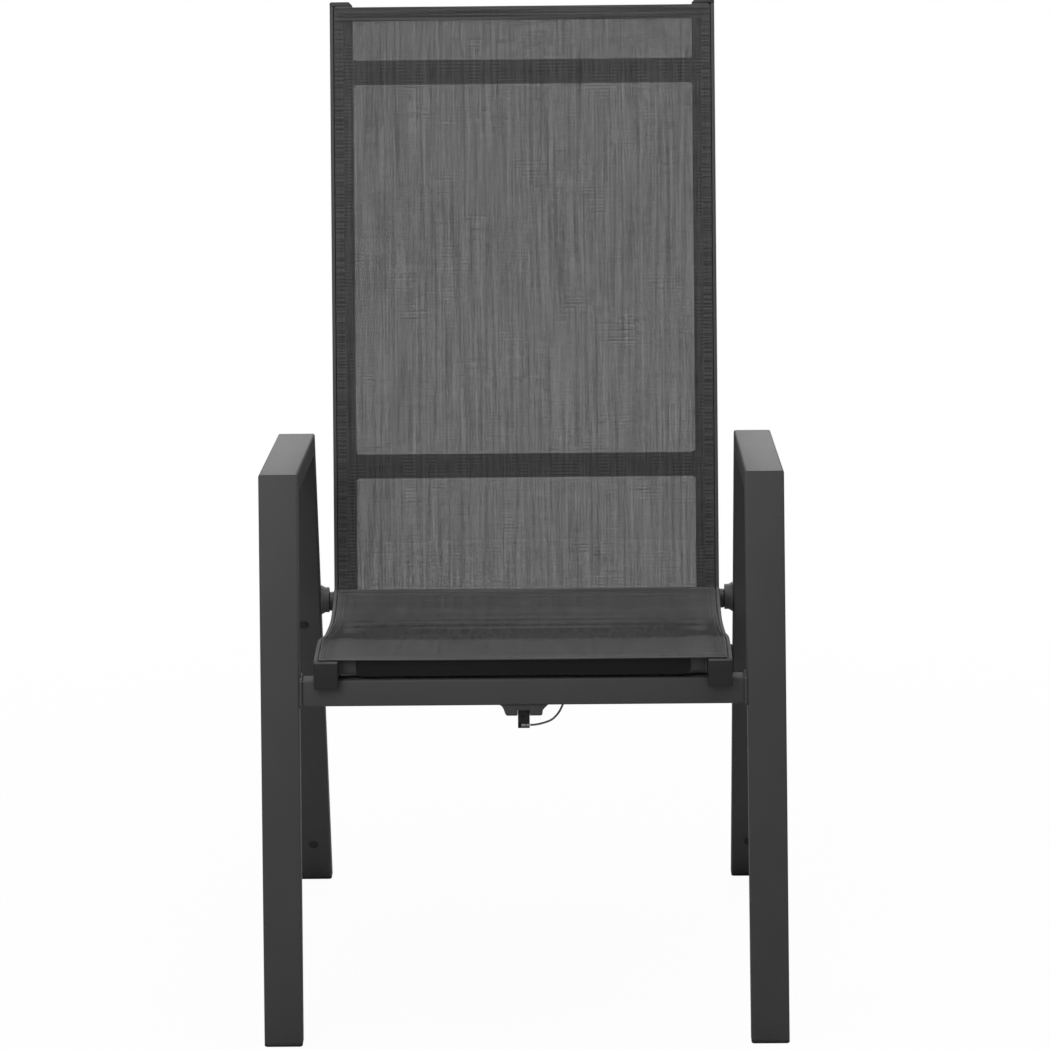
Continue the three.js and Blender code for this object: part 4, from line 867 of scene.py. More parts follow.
front_corner = Vector((0, 0, ARM_FRONT_HEIGHT))
rear_corner = Vector((0, ARM_LENGTH, ARM_REAR_HEIGHT))
rear_heel = Vector((0, FRAME_DEPTH, 0))
arm_way = (rear_corner - front_corner).normalized()
leg_way = (rear_heel - rear_corner).normalized()
front_mitre = (ALONG_Z + arm_way).normalized()
rear_mitre = (arm_way + leg_way).normalized()
arm_slope = math.atan2(ARM_FRONT_HEIGHT - ARM_REAR_HEIGHT, ARM_LENGTH)
tube_middle = (FRAME_INNER_WIDTH + TUBE_WIDTH) / 2


def tube_bar(corner, way):
    """The middle line of a side tube whose outer face runs through a corner of the side view."""
    inward = -ALONG_X.cross(way)
    base = corner + inward * (TUBE_DEPTH / 2)
    return Bar((tube_middle, base.y, base.z), ALONG_X, -inward)


front_leg_bar = tube_bar(Vector((0, 0, 0)), ALONG_Z)
arm_bar = tube_bar(front_corner, arm_way)
rear_leg_bar = tube_bar(rear_heel, leg_way)


def rear_leg_at(height):
    return rear_leg_bar.base + leg_way * ((height - rear_leg_bar.base.z) / leg_way.z)


def splay_at(height):
    return LEG_SPLAY * (ARM_FRONT_HEIGHT - height) / ARM_FRONT_HEIGHT


def on_side(corners, side):
    """Corners of the upright right side frame, splayed and put on one side of the chair."""
    return [spot(side * (c.x + splay_at(c.z)), c.y, c.z) for c in corners]


def between_legs(corners):
    return [spot(*c) for c in corners]


def hollow_tube(node, bar, width, depth, planes, put):
    """A tube between two planes, each a place and its normal. Put carries its corners to their places."""
    outlines = tube_outlines(width, depth, TUBE_WALL, TUBE_CORNER, TUBE_CORNER / 3)
    outer, inner = ([put(bar.ring(outline, *plane)) for plane in planes] for outline in outlines)
    settle_in(lofted(f"{node}_tube", outer, COAT, inner, bevel=TUBE_EDGE), "frame", node)


def build_side_frames():
    floor_line = (Vector((0, 0, FOOT_HEIGHT + SLIT)), ALONG_Z)
    gap = SLIT / 3
    tubes = {
        "front_leg": (front_leg_bar, floor_line, (front_corner - front_mitre * gap, front_mitre)),
        "armrest": (
            arm_bar,
            (front_corner + front_mitre * gap, front_mitre),
            (rear_corner - rear_mitre * gap, rear_mitre),
        ),
        "rear_leg": (rear_leg_bar, (rear_corner + rear_mitre * gap, rear_mitre), floor_line),
    }
    for word, side in SIDES:
        for part, (bar, *planes) in tubes.items():
            hollow_tube(f"{word}_{part}", bar, TUBE_WIDTH, TUBE_DEPTH, planes, lambda ring: on_side(ring, side))


def foot_cap(name, bar, side):
    """A moulded cap: bevelled sole, a lip round the tube's end, and a plug up inside the tube."""
    # Height, how far in from the tube's faces, and corner
    in_tube = TUBE_WALL + SLIT
    steps = [
        (0.0, 0.0022, TUBE_CORNER),
        (0.0003, 0.0012, TUBE_CORNER),
        (0.0011, 0.0003, TUBE_CORNER),
        (0.0018, 0.0, TUBE_CORNER),
        (FOOT_HEIGHT - 0.0004, 0.0, TUBE_CORNER),
        (FOOT_HEIGHT, 0.0003, TUBE_CORNER),
        (FOOT_HEIGHT, in_tube, TUBE_CORNER / 2),
        (FOOT_HEIGHT + FOOT_PLUG_LENGTH, in_tube, TUBE_CORNER / 2),
    ]
    rings = []
    for height, inset, corner in steps:
        outline = rounded_outline(TUBE_WIDTH - 2 * inset, TUBE_DEPTH - 2 * inset, corner)
        rings.append(on_side(bar.ring(outline, Vector((0, 0, height)), ALONG_Z), side))
    return lofted(name, rings, PLASTIC)


LEG_PLUG = [
    (-0.005, 0.0), (-0.005, 0.0036), (0.00031, 0.004), (0.00031, 0.0057), (0.0006, 0.0060), (0.0010, 0.0057),
    (0.0014, 0.0042), (0.0015, 0.0),
]


def leg_plug(name, height, side):
    """A domed plug pressed into a hole in the front face of a rear leg."""
    forward = -rear_leg_bar.up
    face = rear_leg_at(height - forward.z * TUBE_DEPTH / 2) + forward * (TUBE_DEPTH / 2)
    return turned(name, on_side([face], side)[0], forward, LEG_PLUG, PLASTIC)


def build_feet_and_plugs():
    for word, side in SIDES:
        for part, bar in (("front_foot", front_leg_bar), ("rear_foot", rear_leg_bar)):
            settle_in(foot_cap(f"{word}_{part}_pad", bar, side), "frame", f"{word}_{part}_cap")
        for level, height in PLUG_HEIGHTS.items():
            plug = leg_plug(f"{word}_{level}_leg_stud", height, side)
            settle_in(plug, "frame", f"{word}_leg_plug_{level}")


def build_crossbars():
    middle = Vector((0, CROSSBAR_SETBACK + TUBE_DEPTH / 2, CROSSBAR_TOP - CROSSBAR_HEIGHT / 2))
    rear_middle = rear_leg_at(PIVOT_HEIGHT - REAR_BAR_BELOW_PIVOT)
    rear = Bar((0, rear_middle.y, rear_middle.z), -rear_leg_bar.up, -leg_way)
    bars = {
        "front_crossbar": (Bar(middle, ALONG_Y, ALONG_Z), TUBE_DEPTH, CROSSBAR_HEIGHT),
        "rear_crossbar": (rear, REAR_BAR_DEPTH, REAR_BAR_WIDTH),
    }
    half = FRAME_INNER_WIDTH / 2 + LEG_SPLAY - SLIT
    lean = LEG_SPLAY / ARM_FRONT_HEIGHT
    planes = [(Vector((side * half, 0, 0)), Vector((side, 0, lean)).normalized()) for side in (-1, 1)]
    welds = []
    for node, (bar, deep, wide) in bars.items():
        hollow_tube(node, bar, deep, wide, planes, between_legs)
        swollen = rounded_outline(deep + CROSSBAR_WELD_SWELL, wide + CROSSBAR_WELD_SWELL, TUBE_CORNER)
        for place, normal in planes:
            welds.append(ring_line(between_legs(bar.ring(swollen, place - normal * WELD_SETBACK, normal))))
    settle_in(row_along("crossbar_weld_beads", welds, CROSSBAR_WELD, WELD), "frame")


# --- Places of the moving parts -------------------------------------------------------------------------------------

pivot_flat = rear_leg_at(PIVOT_HEIGHT)
pivot = Vector((0, pivot_flat.y, pivot_flat.z))
lug_inner = FRAME_INNER_WIDTH / 2 + splay_at(PIVOT_HEIGHT) - SLIT - LUG_THICKNESS
bush_inner = lug_inner - SLIT - BUSH_THICKNESS
rail_outer = bush_inner - RAIL_WASHER_SLIT
rail_inner = rail_outer - RAIL_WIDTH
rail_middle = rail_outer - RAIL_WIDTH / 2
groove_u = RAIL_WIDTH / 2 - GROOVE_FROM_EDGE
groove_v = RAIL_DEPTH / 2 - GROOVE_LIP - GROOVE_RADIUS
groove_x = rail_middle + groove_u
BACK_PLACE = Matrix.Translation(spot(*pivot)) @ Matrix.Rotation(-BACK_LEAN, 4, "X")


def on_back(x, y, z):
    """A place of the upright back, given in its own directions."""
    return BACK_PLACE @ Vector((x, y, z))


class SeatLine:
    """The side view's line of the seat rails' upper edge."""

    def __init__(self):
        length = (BACK_PLACE @ Vector((0, -RAIL_DEPTH / 2 - SEAT_TO_BACK, 0))).y - FRONT_FACE - SEAT_FRONT
        high = CROSSBAR_TOP + GLIDE_ROOM + RAIL_DEPTH
        dip = high - PIVOT_HEIGHT - SEAT_LOW_OVER_PIVOT
        knots = [Vector((SEAT_FRONT + length * s, high - dip * d)) for s, d in SEAT_LINE_SHARES]
        line = []
        for i in range(len(knots) - 1):
            before, after = knots[max(i - 1, 0)], knots[min(i + 2, len(knots) - 1)]
            leave, arrive = (knots[i + 1] - before) / 2, (after - knots[i]) / 2
            for t in (k / 60 for k in range(60)):
                line.append(
                    (2 * knots[i] - 2 * knots[i + 1] + leave + arrive) * t ** 3
                    + (-3 * knots[i] + 3 * knots[i + 1] - 2 * leave - arrive) * t ** 2
                    + leave * t
                    + knots[i]
                )
        self.points = np.array([tuple(p) for p in [*line, knots[-1]]])
        steps = np.linalg.norm(np.diff(self.points, axis=0), axis=1)
        self.reach = np.concatenate([[0.0], np.cumsum(steps)])
        self.length = float(self.reach[-1])
        self.rear = SEAT_FRONT + length

    def at(self, reach):
        """(y, z) of the line at a distance along it."""
        return np.array([np.interp(reach, self.reach, self.points[:, k]) for k in (0, 1)])

    def way(self, reach):
        nearby = 0.001
        step = self.at(min(reach + nearby, self.length)) - self.at(max(reach - nearby, 0.0))
        return step / np.linalg.norm(step)

    def place(self, reach, x, v):
        """A corner of a section carried along the line: x across, v above the rails' middle."""
        y, z = self.at(reach)
        way = self.way(reach)
        depth = v - RAIL_DEPTH / 2
        return spot(x, y - way[1] * depth, z + way[0] * depth)

    def reach_of(self, y):
        return float(np.interp(y, self.points[:, 0], self.reach))

    def slope(self, reach):
        way = self.way(reach)
        return math.atan2(way[1], way[0])


seat_line = SeatLine()


# --- Rails and bars -------------------------------------------------------------------------------------------------


def rail_outline():
    """The rails' section with its bead groove, each edge rounded."""
    u, v = RAIL_WIDTH / 2, RAIL_DEPTH / 2
    r, lip, mouth = RAIL_CORNER, GROOVE_LIP_ROUND, GROOVE_MOUTH / 2
    opening = math.degrees(math.asin(mouth / GROOVE_RADIUS))
    arcs = [
        (-u + r, -v + r, r, 180, 270, 4),
        (u - r, -v + r, r, 270, 360, 4),
        (u - r, v - r, r, 0, 90, 4),
        (groove_u + mouth + lip, v - lip, lip, 90, 180, 3),
        (groove_u, groove_v, GROOVE_RADIUS, 90 - opening, -270 + opening, 20),
        (groove_u - mouth - lip, v - lip, lip, 0, 90, 3),
        (-u + r, v - r, r, 90, 180, 4),
    ]
    corners = []
    for cu, cv, radius, start, end, steps in arcs:
        for i in range(steps + 1):
            angle = math.radians(start + (end - start) * i / steps)
            corners.append((cu + radius * math.cos(angle), cv + radius * math.sin(angle)))
    return corners


def build_rails():
    outline = rail_outline()
    lines = {
        "back": (lambda z, x, v: on_back(x, -v, z), (-BACK_BELOW_PIVOT, BACK_ABOVE_PIVOT)),
        "seat": (seat_line.place, np.linspace(0, seat_line.length, 61)),
    }
    for body, (put, reaches) in lines.items():
        for word, side in SIDES:
            rings = [[put(s, side * (rail_middle + u), v) for u, v in outline] for s in reaches]
            settle_in(lofted(f"{word}_{body}_rail_extrusion", rings, COAT), body, f"{word}_{body}_rail")


def leaned(corners, middle, lean):
    """Corners round a middle, leaned about the chair's width."""
    turn = Matrix.Rotation(lean, 3, "X")
    return [middle + turn @ Vector(c) for c in corners]


def cross_bar(node, body, high, deep, corner, middle, lean):
    """A tube between the rails, open inside, its ends flat against them. Returns the weld lines round its ends."""
    outlines = tube_outlines(deep, high, BAR_WALL, corner, corner / 2)
    end = rail_inner - SLIT
    outer, inner = (
        [leaned([(x, u, v) for u, v in outline], middle, lean) for x in (-end, end)] for outline in outlines
    )
    settle_in(lofted(f"{node}_tube", outer, COAT, inner, bevel=BAR_EDGE), body, node)
    swollen = rounded_outline(deep + BAR_WELD_SWELL, high + BAR_WELD_SWELL, corner)
    at = rail_inner - WELD_SETBACK
    return [ring_line(leaned([(x, u, v) for u, v in swollen], middle, lean)) for x in (-at, at)]


def build_bars():
    behind = BACK_BAR_DEPTH / 2 + BAR_BELOW_SLING - RAIL_DEPTH / 2
    below = (RAIL_DEPTH - FRONT_TUBE_HEIGHT) / 2
    back_bars = {
        "upper_back_bar": (BACK_BAR_WIDTH, BACK_BAR_DEPTH, BACK_BAR_CORNER, behind, UPPER_BAR_UP),
        "lower_back_bar": (BACK_BAR_WIDTH, BACK_BAR_DEPTH, BACK_BAR_CORNER, behind, LOWER_BAR_UP),
        "bottom_back_bar": (BOTTOM_BAR_WIDTH, RAIL_DEPTH, TUBE_CORNER, 0, -BOTTOM_BAR_DOWN),
    }
    seat_bars = {
        "seat_front_tube": (FRONT_TUBE_AT, FRONT_TUBE_HEIGHT, FRONT_TUBE_DEPTH, below),
        "middle_seat_bar": (seat_line.rear - MIDDLE_BAR_TO_END, SEAT_BAR_DEPTH, SEAT_BAR_WIDTH, BAR_BELOW_SLING),
        "rear_seat_bar": (seat_line.rear - REAR_BAR_TO_END, SEAT_BAR_DEPTH, SEAT_BAR_WIDTH, BAR_BELOW_SLING),
    }
    welds = {"back": [], "seat": []}
    for node, (high, deep, corner, y, z) in back_bars.items():
        welds["back"] += cross_bar(node, "back", high, deep, corner, on_back(0, y, z), -BACK_LEAN)
    for node, (y, high, deep, down) in seat_bars.items():
        reach = seat_line.reach_of(y)
        middle = seat_line.place(reach, 0, RAIL_DEPTH / 2 - down - high / 2)
        lean = seat_line.slope(reach)
        welds["seat"] += cross_bar(node, "seat", high, deep, TUBE_CORNER, middle, lean)
        if node == "seat_front_tube":
            build_front_strip(middle, lean)
    for body, lines in welds.items():
        settle_in(row_along(f"{body}_bar_weld_beads", lines, BAR_WELD, WELD), body)


def build_front_strip(middle, lean):
    """The edge strip under the front of the seat: a long plate with rounded lower corners."""
    half = rail_inner - STRIP_INSET
    high = FRONT_TUBE_HEIGHT / 2
    low = -high - STRIP_LAP
    outline = [(half, high), (-half, high)]
    for side, first in ((-1, math.pi), (1, -math.pi / 2)):
        for i in range(9):
            angle = first + i / 8 * math.pi / 2
            outline.append((
                side * (half - STRIP_CORNER) + STRIP_CORNER * math.cos(angle),
                low + STRIP_CORNER + STRIP_CORNER * math.sin(angle),
            ))
    face = -FRONT_TUBE_DEPTH / 2 - SLIT
    rings = [leaned([(x, y, v) for x, v in outline], middle, lean) for y in (face - STRIP_THICKNESS, face)]
    # The strip's darker finish holds painted shade from under the seat's front
    settle_in(lofted("seat_edge_strip", rings, SHADE_DARKENED_STRIP, bevel=STRIP_EDGE, segments=3), "seat", "seat_front_strip")


# --- Slings -------------------------------------------------------------------------------------------------------

SLING_TOP = RAIL_DEPTH / 2 + SLING_TOP_OVER_RAIL
SLING_FOOT = RAIL_DEPTH / 2 + SLIT
PLY = SLING_TOP - CLOTH - SLING_FOOT
POCKET_EDGE = groove_x - POCKET_WIDTH
POCKET_SEAM = POCKET_EDGE + SEAM_FROM_FOLD
FLAT_END = groove_x + LIP_HALF - NECK_SHIFT - FOLD_RADIUS


def step_share(value, edge, soft=SOFT_STEP):
    """0 before an edge, 1 after it, with a soft step."""
    t = min(max((value - edge) / soft + 0.5, 0.0), 1.0)
    return t * t * (3 - 2 * t)


def hump(distance, half):
    """1 at the middle of a round hump, falling away to both sides."""
    return math.exp(-((distance / half) ** 2))


def seat_waves(reach):
    """Low creases across the seat, where it dips before its rear end."""
    return sum(high * hump(reach - at, CREASE_HALF) for at, high in SEAT_CREASES)


class Sling:
    """One sling: where its cloth lies, how thick it is, and where its seams run."""

    def __init__(self, place, start, end, hem_start, hem_end, step, waves=None):
        self.place, self.start, self.end = place, start, end
        self.hem_start, self.hem_end, self.step, self.waves = hem_start, hem_end, step, waves
        self.hems = (start + hem_start, end - hem_end)
        rows = (SEAM_FROM_FOLD, SECOND_SEAM)
        self.seams = [self.hems[0] - row for row in rows] + [self.hems[1] + row for row in rows]

    def pinch(self, reach):
        """The round of the folded edge."""
        inside = min(reach - self.start, self.end - reach)
        if inside >= HEM_ROUND:
            return 0.0
        share = 1 - inside / HEM_ROUND
        return HEM_ROUND * (1 - math.sqrt(1 - share * share))

    def doubled(self, reach, x):
        """1 where the cloth lies double: in the hems and in the side pockets."""
        hem = max(1 - step_share(reach, self.hems[0]), step_share(reach, self.hems[1]))
        return max(hem, step_share(abs(x), POCKET_EDGE))

    def top(self, reach, x):
        free = 1 - min(abs(x) / rail_inner, 1.0) ** 2
        fade = 1 - step_share(abs(x), FLAT_END - FADE_BEFORE_FOLD, 2 * FADE_BEFORE_FOLD)
        seams = [reach - seam for seam in self.seams] + [abs(x) - POCKET_SEAM]
        swells = (self.start + HEM_SWELL_AT, self.end - HEM_SWELL_AT)
        roll = HEM_SWELL * sum(hump(reach - edge, HEM_SWELL_HALF) for edge in swells)
        level = SLING_TOP - OPEN_SET * (1 - self.doubled(reach, x)) - FREE_SAG * free
        level += fade * (roll - SEAM_DIP * sum(hump(away, SEAM_HALF_WIDTH) for away in seams))
        return level + (self.waves(reach) * free ** 1.5 if self.waves else 0.0)

    def foot(self, reach, x):
        return self.top(reach, x) - CLOTH - PLY * self.doubled(reach, x)

    def section(self, reach):
        """Corners across the chair as rows of (x, depth, u)."""
        flat = list(np.linspace(0, POCKET_EDGE - OPEN_MARGIN, 26))
        flat += [POCKET_EDGE + d for d in (-0.0007, *NEAR_HEM)]
        flat += [POCKET_SEAM + d for d in NEAR_SEAM if POCKET_SEAM + d > POCKET_EDGE + NECK_STEP]
        flat += list(np.linspace(POCKET_SEAM + 0.0025, FLAT_END, 6))
        pinch = self.pinch(reach)
        right = [(x, self.top(reach, x) - pinch, x) for x in flat]

        # Over the outer edge, round the bead in its groove, and back under through the neck
        u = FLAT_END
        turns = 5
        for i in range(1, turns + 1):
            angle = math.pi / 2 * (1 - i / turns)
            u += FOLD_RADIUS * math.pi / 2 / turns
            v = SLING_TOP - FOLD_RADIUS + FOLD_RADIUS * math.sin(angle)
            right.append((FLAT_END + FOLD_RADIUS * math.cos(angle), v - pinch * (turns - i) / turns, u))
        opening = math.asin(LIP_HALF / BEAD_RADIUS)
        u += SLING_TOP - FOLD_RADIUS - groove_v - BEAD_RADIUS * math.cos(opening)
        steps = 14
        for i in range(steps + 1):
            angle = opening + i / steps * (2 * math.pi - 2 * opening)
            folded = u + BEAD_RADIUS * min(angle, 2 * math.pi - angle)
            right.append((groove_x + BEAD_RADIUS * math.sin(angle), groove_v + BEAD_RADIUS * math.cos(angle), folded))
        inner = groove_x - LIP_HALF - NECK_SHIFT
        right.append((inner, SLING_FOOT - NECK_STEP, inner + NECK_STEP))
        right.append((inner - NECK_STEP, SLING_FOOT, inner - NECK_STEP))
        right += [(x, self.foot(reach, x) + pinch, x) for x in reversed(flat) if x < inner - OPEN_MARGIN]
        return right + [(-x, v, -u) for x, v, u in reversed(right[1:-1])]

    def stations(self):
        """Distances along the sling, closer together at its folded ends and seams."""
        marks = {self.start, self.end}
        marks.update(self.start + d for d in HEM_MARKS)
        marks.update(self.end - d for d in HEM_MARKS)
        marks.update(seam + d for seam in self.seams for d in NEAR_SEAM)
        marks.update(edge + d for edge in self.hems for d in NEAR_HEM)
        count = int((self.end - self.start) / self.step)
        inner = [self.start + (self.end - self.start) * i / count for i in range(1, count)]
        marks.update(m for m in inner if all(abs(m - other) > 0.0012 for other in marks))
        kept = []
        for mark in sorted(marks):
            if not kept or mark - kept[-1] > 0.00008:
                kept.append(mark)
        return kept

    def cloth(self, name):
        """The closed skin of the cloth, with the weave's own map on it."""
        corners, maps, layers, faces = [], [], [], []
        stations = self.stations()
        for reach in stations:
            section = self.section(reach)
            corners += [tuple(self.place(reach, x, v)) for x, v, _ in section]
            maps += [(u, reach) for _, _, u in section]
            layers += [self.doubled(reach, u) for _, _, u in section]
        count = len(section)
        last = (len(stations) - 1) * count
        for low in range(0, last, count):
            for i in range(count):
                j = (i + 1) % count
                faces.append((low + i, low + j, low + count + j, low + count + i))
        faces += [tuple(range(count)), tuple(range(last, last + count))]
        mesh = bpy.data.meshes.new(name)
        mesh.from_pydata(corners, [], faces)
        with opened(mesh) as work:
            bmesh.ops.recalc_face_normals(work, faces=work.faces)
            bmesh.ops.triangulate(work, faces=[face for face in work.faces if len(face.verts) > 4])
        weave = mesh.uv_layers.new(name="weave")
        for loop in mesh.loops:
            weave.data[loop.index].uv = maps[loop.vertex_index]
        mesh.attributes.new("doubled", "FLOAT", "POINT").data.foreach_set("value", layers)
        piece = place_mesh(name, mesh, MESH_CLOTH)
        mesh.shade_smooth()
        mesh.set_sharp_from_angle(angle=math.radians(60))
        return piece

    def line(self, reaches, xs, depth):
        """A line of points a depth below the cloth's top."""
        return [self.place(s, x, self.top(s, x) - depth) for s in reaches for x in xs]

    def stitches(self, name):
        """The rows of thread that hold the side pockets and the end hems."""
        reaches = np.linspace(self.start + SEAM_END, self.end - SEAM_END, 120)
        xs = np.linspace(-POCKET_SEAM + SEAM_END, POCKET_SEAM - SEAM_END, 60)
        lines = [self.line(reaches, [x], -STITCH_OVER) for x in (-POCKET_SEAM, POCKET_SEAM)]
        lines += [self.line([s], xs, -STITCH_OVER) for s in self.seams]
        return row_along(name, lines, STITCH, THREAD)

    def strands(self, name, weft_every, warp_every, warp_step, weft_depth):
        """The middles of the yarns inside the open cloth, which close it to a slanting look; their dark finish is
        painted shade between the yarns.
        """
        low = self.start + HEM_ROUND
        high = self.end - HEM_ROUND
        side = POCKET_EDGE - OPEN_MARGIN
        near = [POCKET_EDGE + d for d in (-0.0006, 0.0006)] + [POCKET_SEAM + d for d in (-0.0012, 0.0, 0.0012)]
        near += [FLAT_END - 0.002, FLAT_END]
        xs = [*(-x for x in reversed(near)), *np.linspace(-side, side, 11), *near]
        reaches = np.linspace(low, high, max(2, int((high - low) / warp_step)))
        wefts = yarn_middles(low, high, WEAVE_PITCH_ALONG, weft_every)
        warps = yarn_middles(-side, side, WEAVE_PITCH_ACROSS, warp_every)
        lines = [self.line([s], xs, weft_depth) for s in wefts]
        lines += [self.line(reaches, [x], CLOTH / 2) for x in warps]
        return made_by(STRAND_TREE, name, lines, SHADE_PAINTED_YARN, Radius=STRAND_RADIUS)


def yarn_middles(low, high, pitch, every):
    """Where the yarns' middles lie between two edges: every yarn, every second one, or none."""
    if not every:
        return []
    first = math.ceil(low / pitch)
    middles = [(row + 0.5) * pitch for row in range(first, math.ceil(high / pitch) + 1, every)]
    return [middle for middle in middles if middle < high]


def build_slings():
    seat_end = seat_line.length - SEAT_SLING_END
    slings = {
        "back": Sling(
            lambda reach, x, v: on_back(x, -v, reach), BACK_SLING_FOOT, BACK_SLING_TOP, HEM_WIDTH, HEM_WIDTH, 0.012,
        ),
        "seat": Sling(seat_line.place, 0.0, seat_end, SEAT_HEM_WIDTH, HEM_WIDTH, 0.006, seat_waves),
    }
    strand_steps = {"back": (0, 1, 0.2, BACK_WEFT_DEPTH), "seat": (1, 2, 0.011, SEAT_WEFT_DEPTH)}
    for body, made in slings.items():
        cloth = made.cloth(f"{body}_sling_cloth")
        thread = made.stitches(f"{body}_sling_stitches")
        # Yarn middles in a dark finish: painted shade between the yarns
        strands = made.strands(f"{body}_sling_yarn_cores", *strand_steps[body])
        settle_in(cloth, body, f"{body}_sling")
        settle_in(thread, body)
        settle_in(strands, body)


# --- Pieces taken over from the solids --------------------------------------------------------------------------------

# For each solid: its piece, body and finish, and the round of its edges with its steps. Each pair has a left and a
# right one.
PAIR_COPIES = {
    "back_rail_top_cap": ("top_rail_cap", "back", PLASTIC, 0.0007, 3),
    "back_rail_bottom_cap": ("bottom_rail_cap", "back", PLASTIC, 0.0007, 3),
    "seat_nose": ("rail_nose", "seat", PLASTIC, 0.0009, 3),
    "seat_hinge_plate": ("hinge_link", "seat", STEEL, 0.0006, 2),
    "pivot_lug": ("leg_lug", "frame", COAT, 0.0006, 2),
    "seat_glide": ("glide_pad", "frame", PLASTIC, 0.0006, 2),
}
COPIES = {
    "spring_rear_bracket": ("spring_rear_yoke", "back", COAT, 0.0005, 2),
    "release_head": ("release_head_block", "spring_rod", PLASTIC, 0.0005, 2),
    "release_rocker": ("release_rocker_arm", "rocker", PLASTIC, 0.0003, 2),
    "lever_housing": ("lever_shell", "frame", PLASTIC, 0.0009, 3),
    "release_lever": ("release_paddle", "lever", PLASTIC, 0.0010, 3),
}


def build_copies():
    rows = list(COPIES.items())
    for word, _ in SIDES:
        rows += [(f"{word}_{node}", (f"{word}_{name}", *how)) for node, (name, *how) in PAIR_COPIES.items()]
    for node, (name, body, material, edge, segments) in rows:
        settle_in(from_node(node, name, material, edge, segments), body, node)


# --- Pivots, gas spring, lever ----------------------------------------------------------------------------------------


def build_pivots():
    r, t = BOLT_HEAD_RADIUS, BOLT_HEAD_THICKNESS
    # A button head with a six-sided socket
    screw_head = [
        (0.0, BOLT_RADIUS), (0.0, r - 0.0006), (0.0005, r), (0.0011, r), (t * 0.55, r * 0.86), (t * 0.85, r * 0.62),
        (t, r * 0.42), (t, 0.0023), (t - 0.0024, 0.0022), (t - 0.0030, 0.0),
    ]
    shank = [(0.0, BOLT_RADIUS), (lug_inner + BOLT_IN_LUG - rail_inner, BOLT_RADIUS)]
    bush_end = BUSH_THICKNESS + BUSH_LIP
    bush = [
        (0.0, BUSH_HOLE), (0.0, BUSH_RADIUS - BUSH_EDGE), (BUSH_EDGE, BUSH_RADIUS), (bush_end - BUSH_EDGE, BUSH_RADIUS),
        (bush_end, BUSH_RADIUS - BUSH_EDGE), (bush_end, BUSH_HOLE),
    ]
    inner = rail_inner - SLIT - HINGE_PLATE_THICKNESS - SLIT
    rivet_end = rail_outer - RIVET_SHORT_OF_RAIL - inner + RIVET_HEAD
    rivet = [
        (0.0, 0.0), (0.0, 0.0052), (0.0006, 0.0066), (0.0012, 0.007), (RIVET_HEAD, 0.007), (RIVET_HEAD, BOLT_RADIUS),
        (rivet_end, BOLT_RADIUS), (rivet_end, 0.0),
    ]
    rivet_at = pivot + Matrix.Rotation(-BACK_LEAN, 3, "X") @ Vector((0, 0, -HINGE_DOWN))
    for word, side in SIDES:
        out = (side, 0, 0)
        at_rail = spot(side * (rail_inner - SLIT), pivot.y, pivot.z)
        at_bush = spot(side * (bush_inner - BUSH_LIP), pivot.y, pivot.z)
        at_hinge = spot(side * (inner - RIVET_HEAD), rivet_at.y, rivet_at.z)
        settle_in(turned(f"{word}_nylon_bush", at_bush, out, bush, PLASTIC), "frame", f"{word}_pivot_bush")
        screw = joined(f"{word}_pivot_screw_whole", [
            turned(f"{word}_pivot_screw", at_rail, (-side, 0, 0), screw_head, STEEL, sides=36, hex_rings=(7, 8)),
            turned(f"{word}_pivot_shank", at_rail, out, shank, STEEL),
        ])
        settle_in(screw, "frame", f"{word}_pivot_bolt")
        settle_in(turned(f"{word}_hinge_rivet", at_hinge, out, rivet, STEEL), "back", f"{word}_seat_hinge_pin")


under_crossbar = CROSSBAR_TOP - CROSSBAR_HEIGHT
spring_front = spot(
    0, CROSSBAR_SETBACK + TUBE_DEPTH + SPRING_BEHIND_CROSSBAR, under_crossbar - SPRING_BELOW_CROSSBAR,
)
rear_eye = on_back(0, -SPRING_REAR_REACH, -BOTTOM_BAR_DOWN)
spring_way = rear_eye - spring_front
spring_length = spring_way.length
SPRING_PLACE = Matrix.Translation(spring_front) @ Matrix.Rotation(math.atan2(spring_way.z, spring_way.y), 4, "X")


def pin_across(name, half, place):
    """A headed steel pin across two cheeks, with a clip groove at its plain end."""
    r = SPRING_PIN_RADIUS
    end = half + SLIT
    profile = [
        (-end - r, 0.0), (-end - r, r * 1.3), (-end - r + 0.0004, r * 1.5), (-end - 0.0003, r * 1.5),
        (-end, r * 1.42), (-end, r), (end + 0.0006, r), (end + 0.0006, r * 0.78), (end + 0.0014, r * 0.78),
        (end + 0.0014, r), (end + r - 0.0004, r), (end + r, r * 0.85), (end + r, 0.0),
    ]
    return turned(name, place, (1, 0, 0), profile, STEEL, sides=24)


def keep_middle(piece, half):
    """Cuts a piece off at both sides and closes the cuts."""
    with opened(piece.data) as work:
        for side in (-1, 1):
            cut = bmesh.ops.bisect_plane(
                work,
                geom=[*work.verts, *work.edges, *work.faces],
                plane_co=(side * half, 0, 0),
                plane_no=(side, 0, 0),
                clear_outer=True,
            )
            bmesh.ops.holes_fill(work, edges=[e for e in cut["geom_cut"] if isinstance(e, bmesh.types.BMEdge)])
        bmesh.ops.recalc_face_normals(work, faces=work.faces)


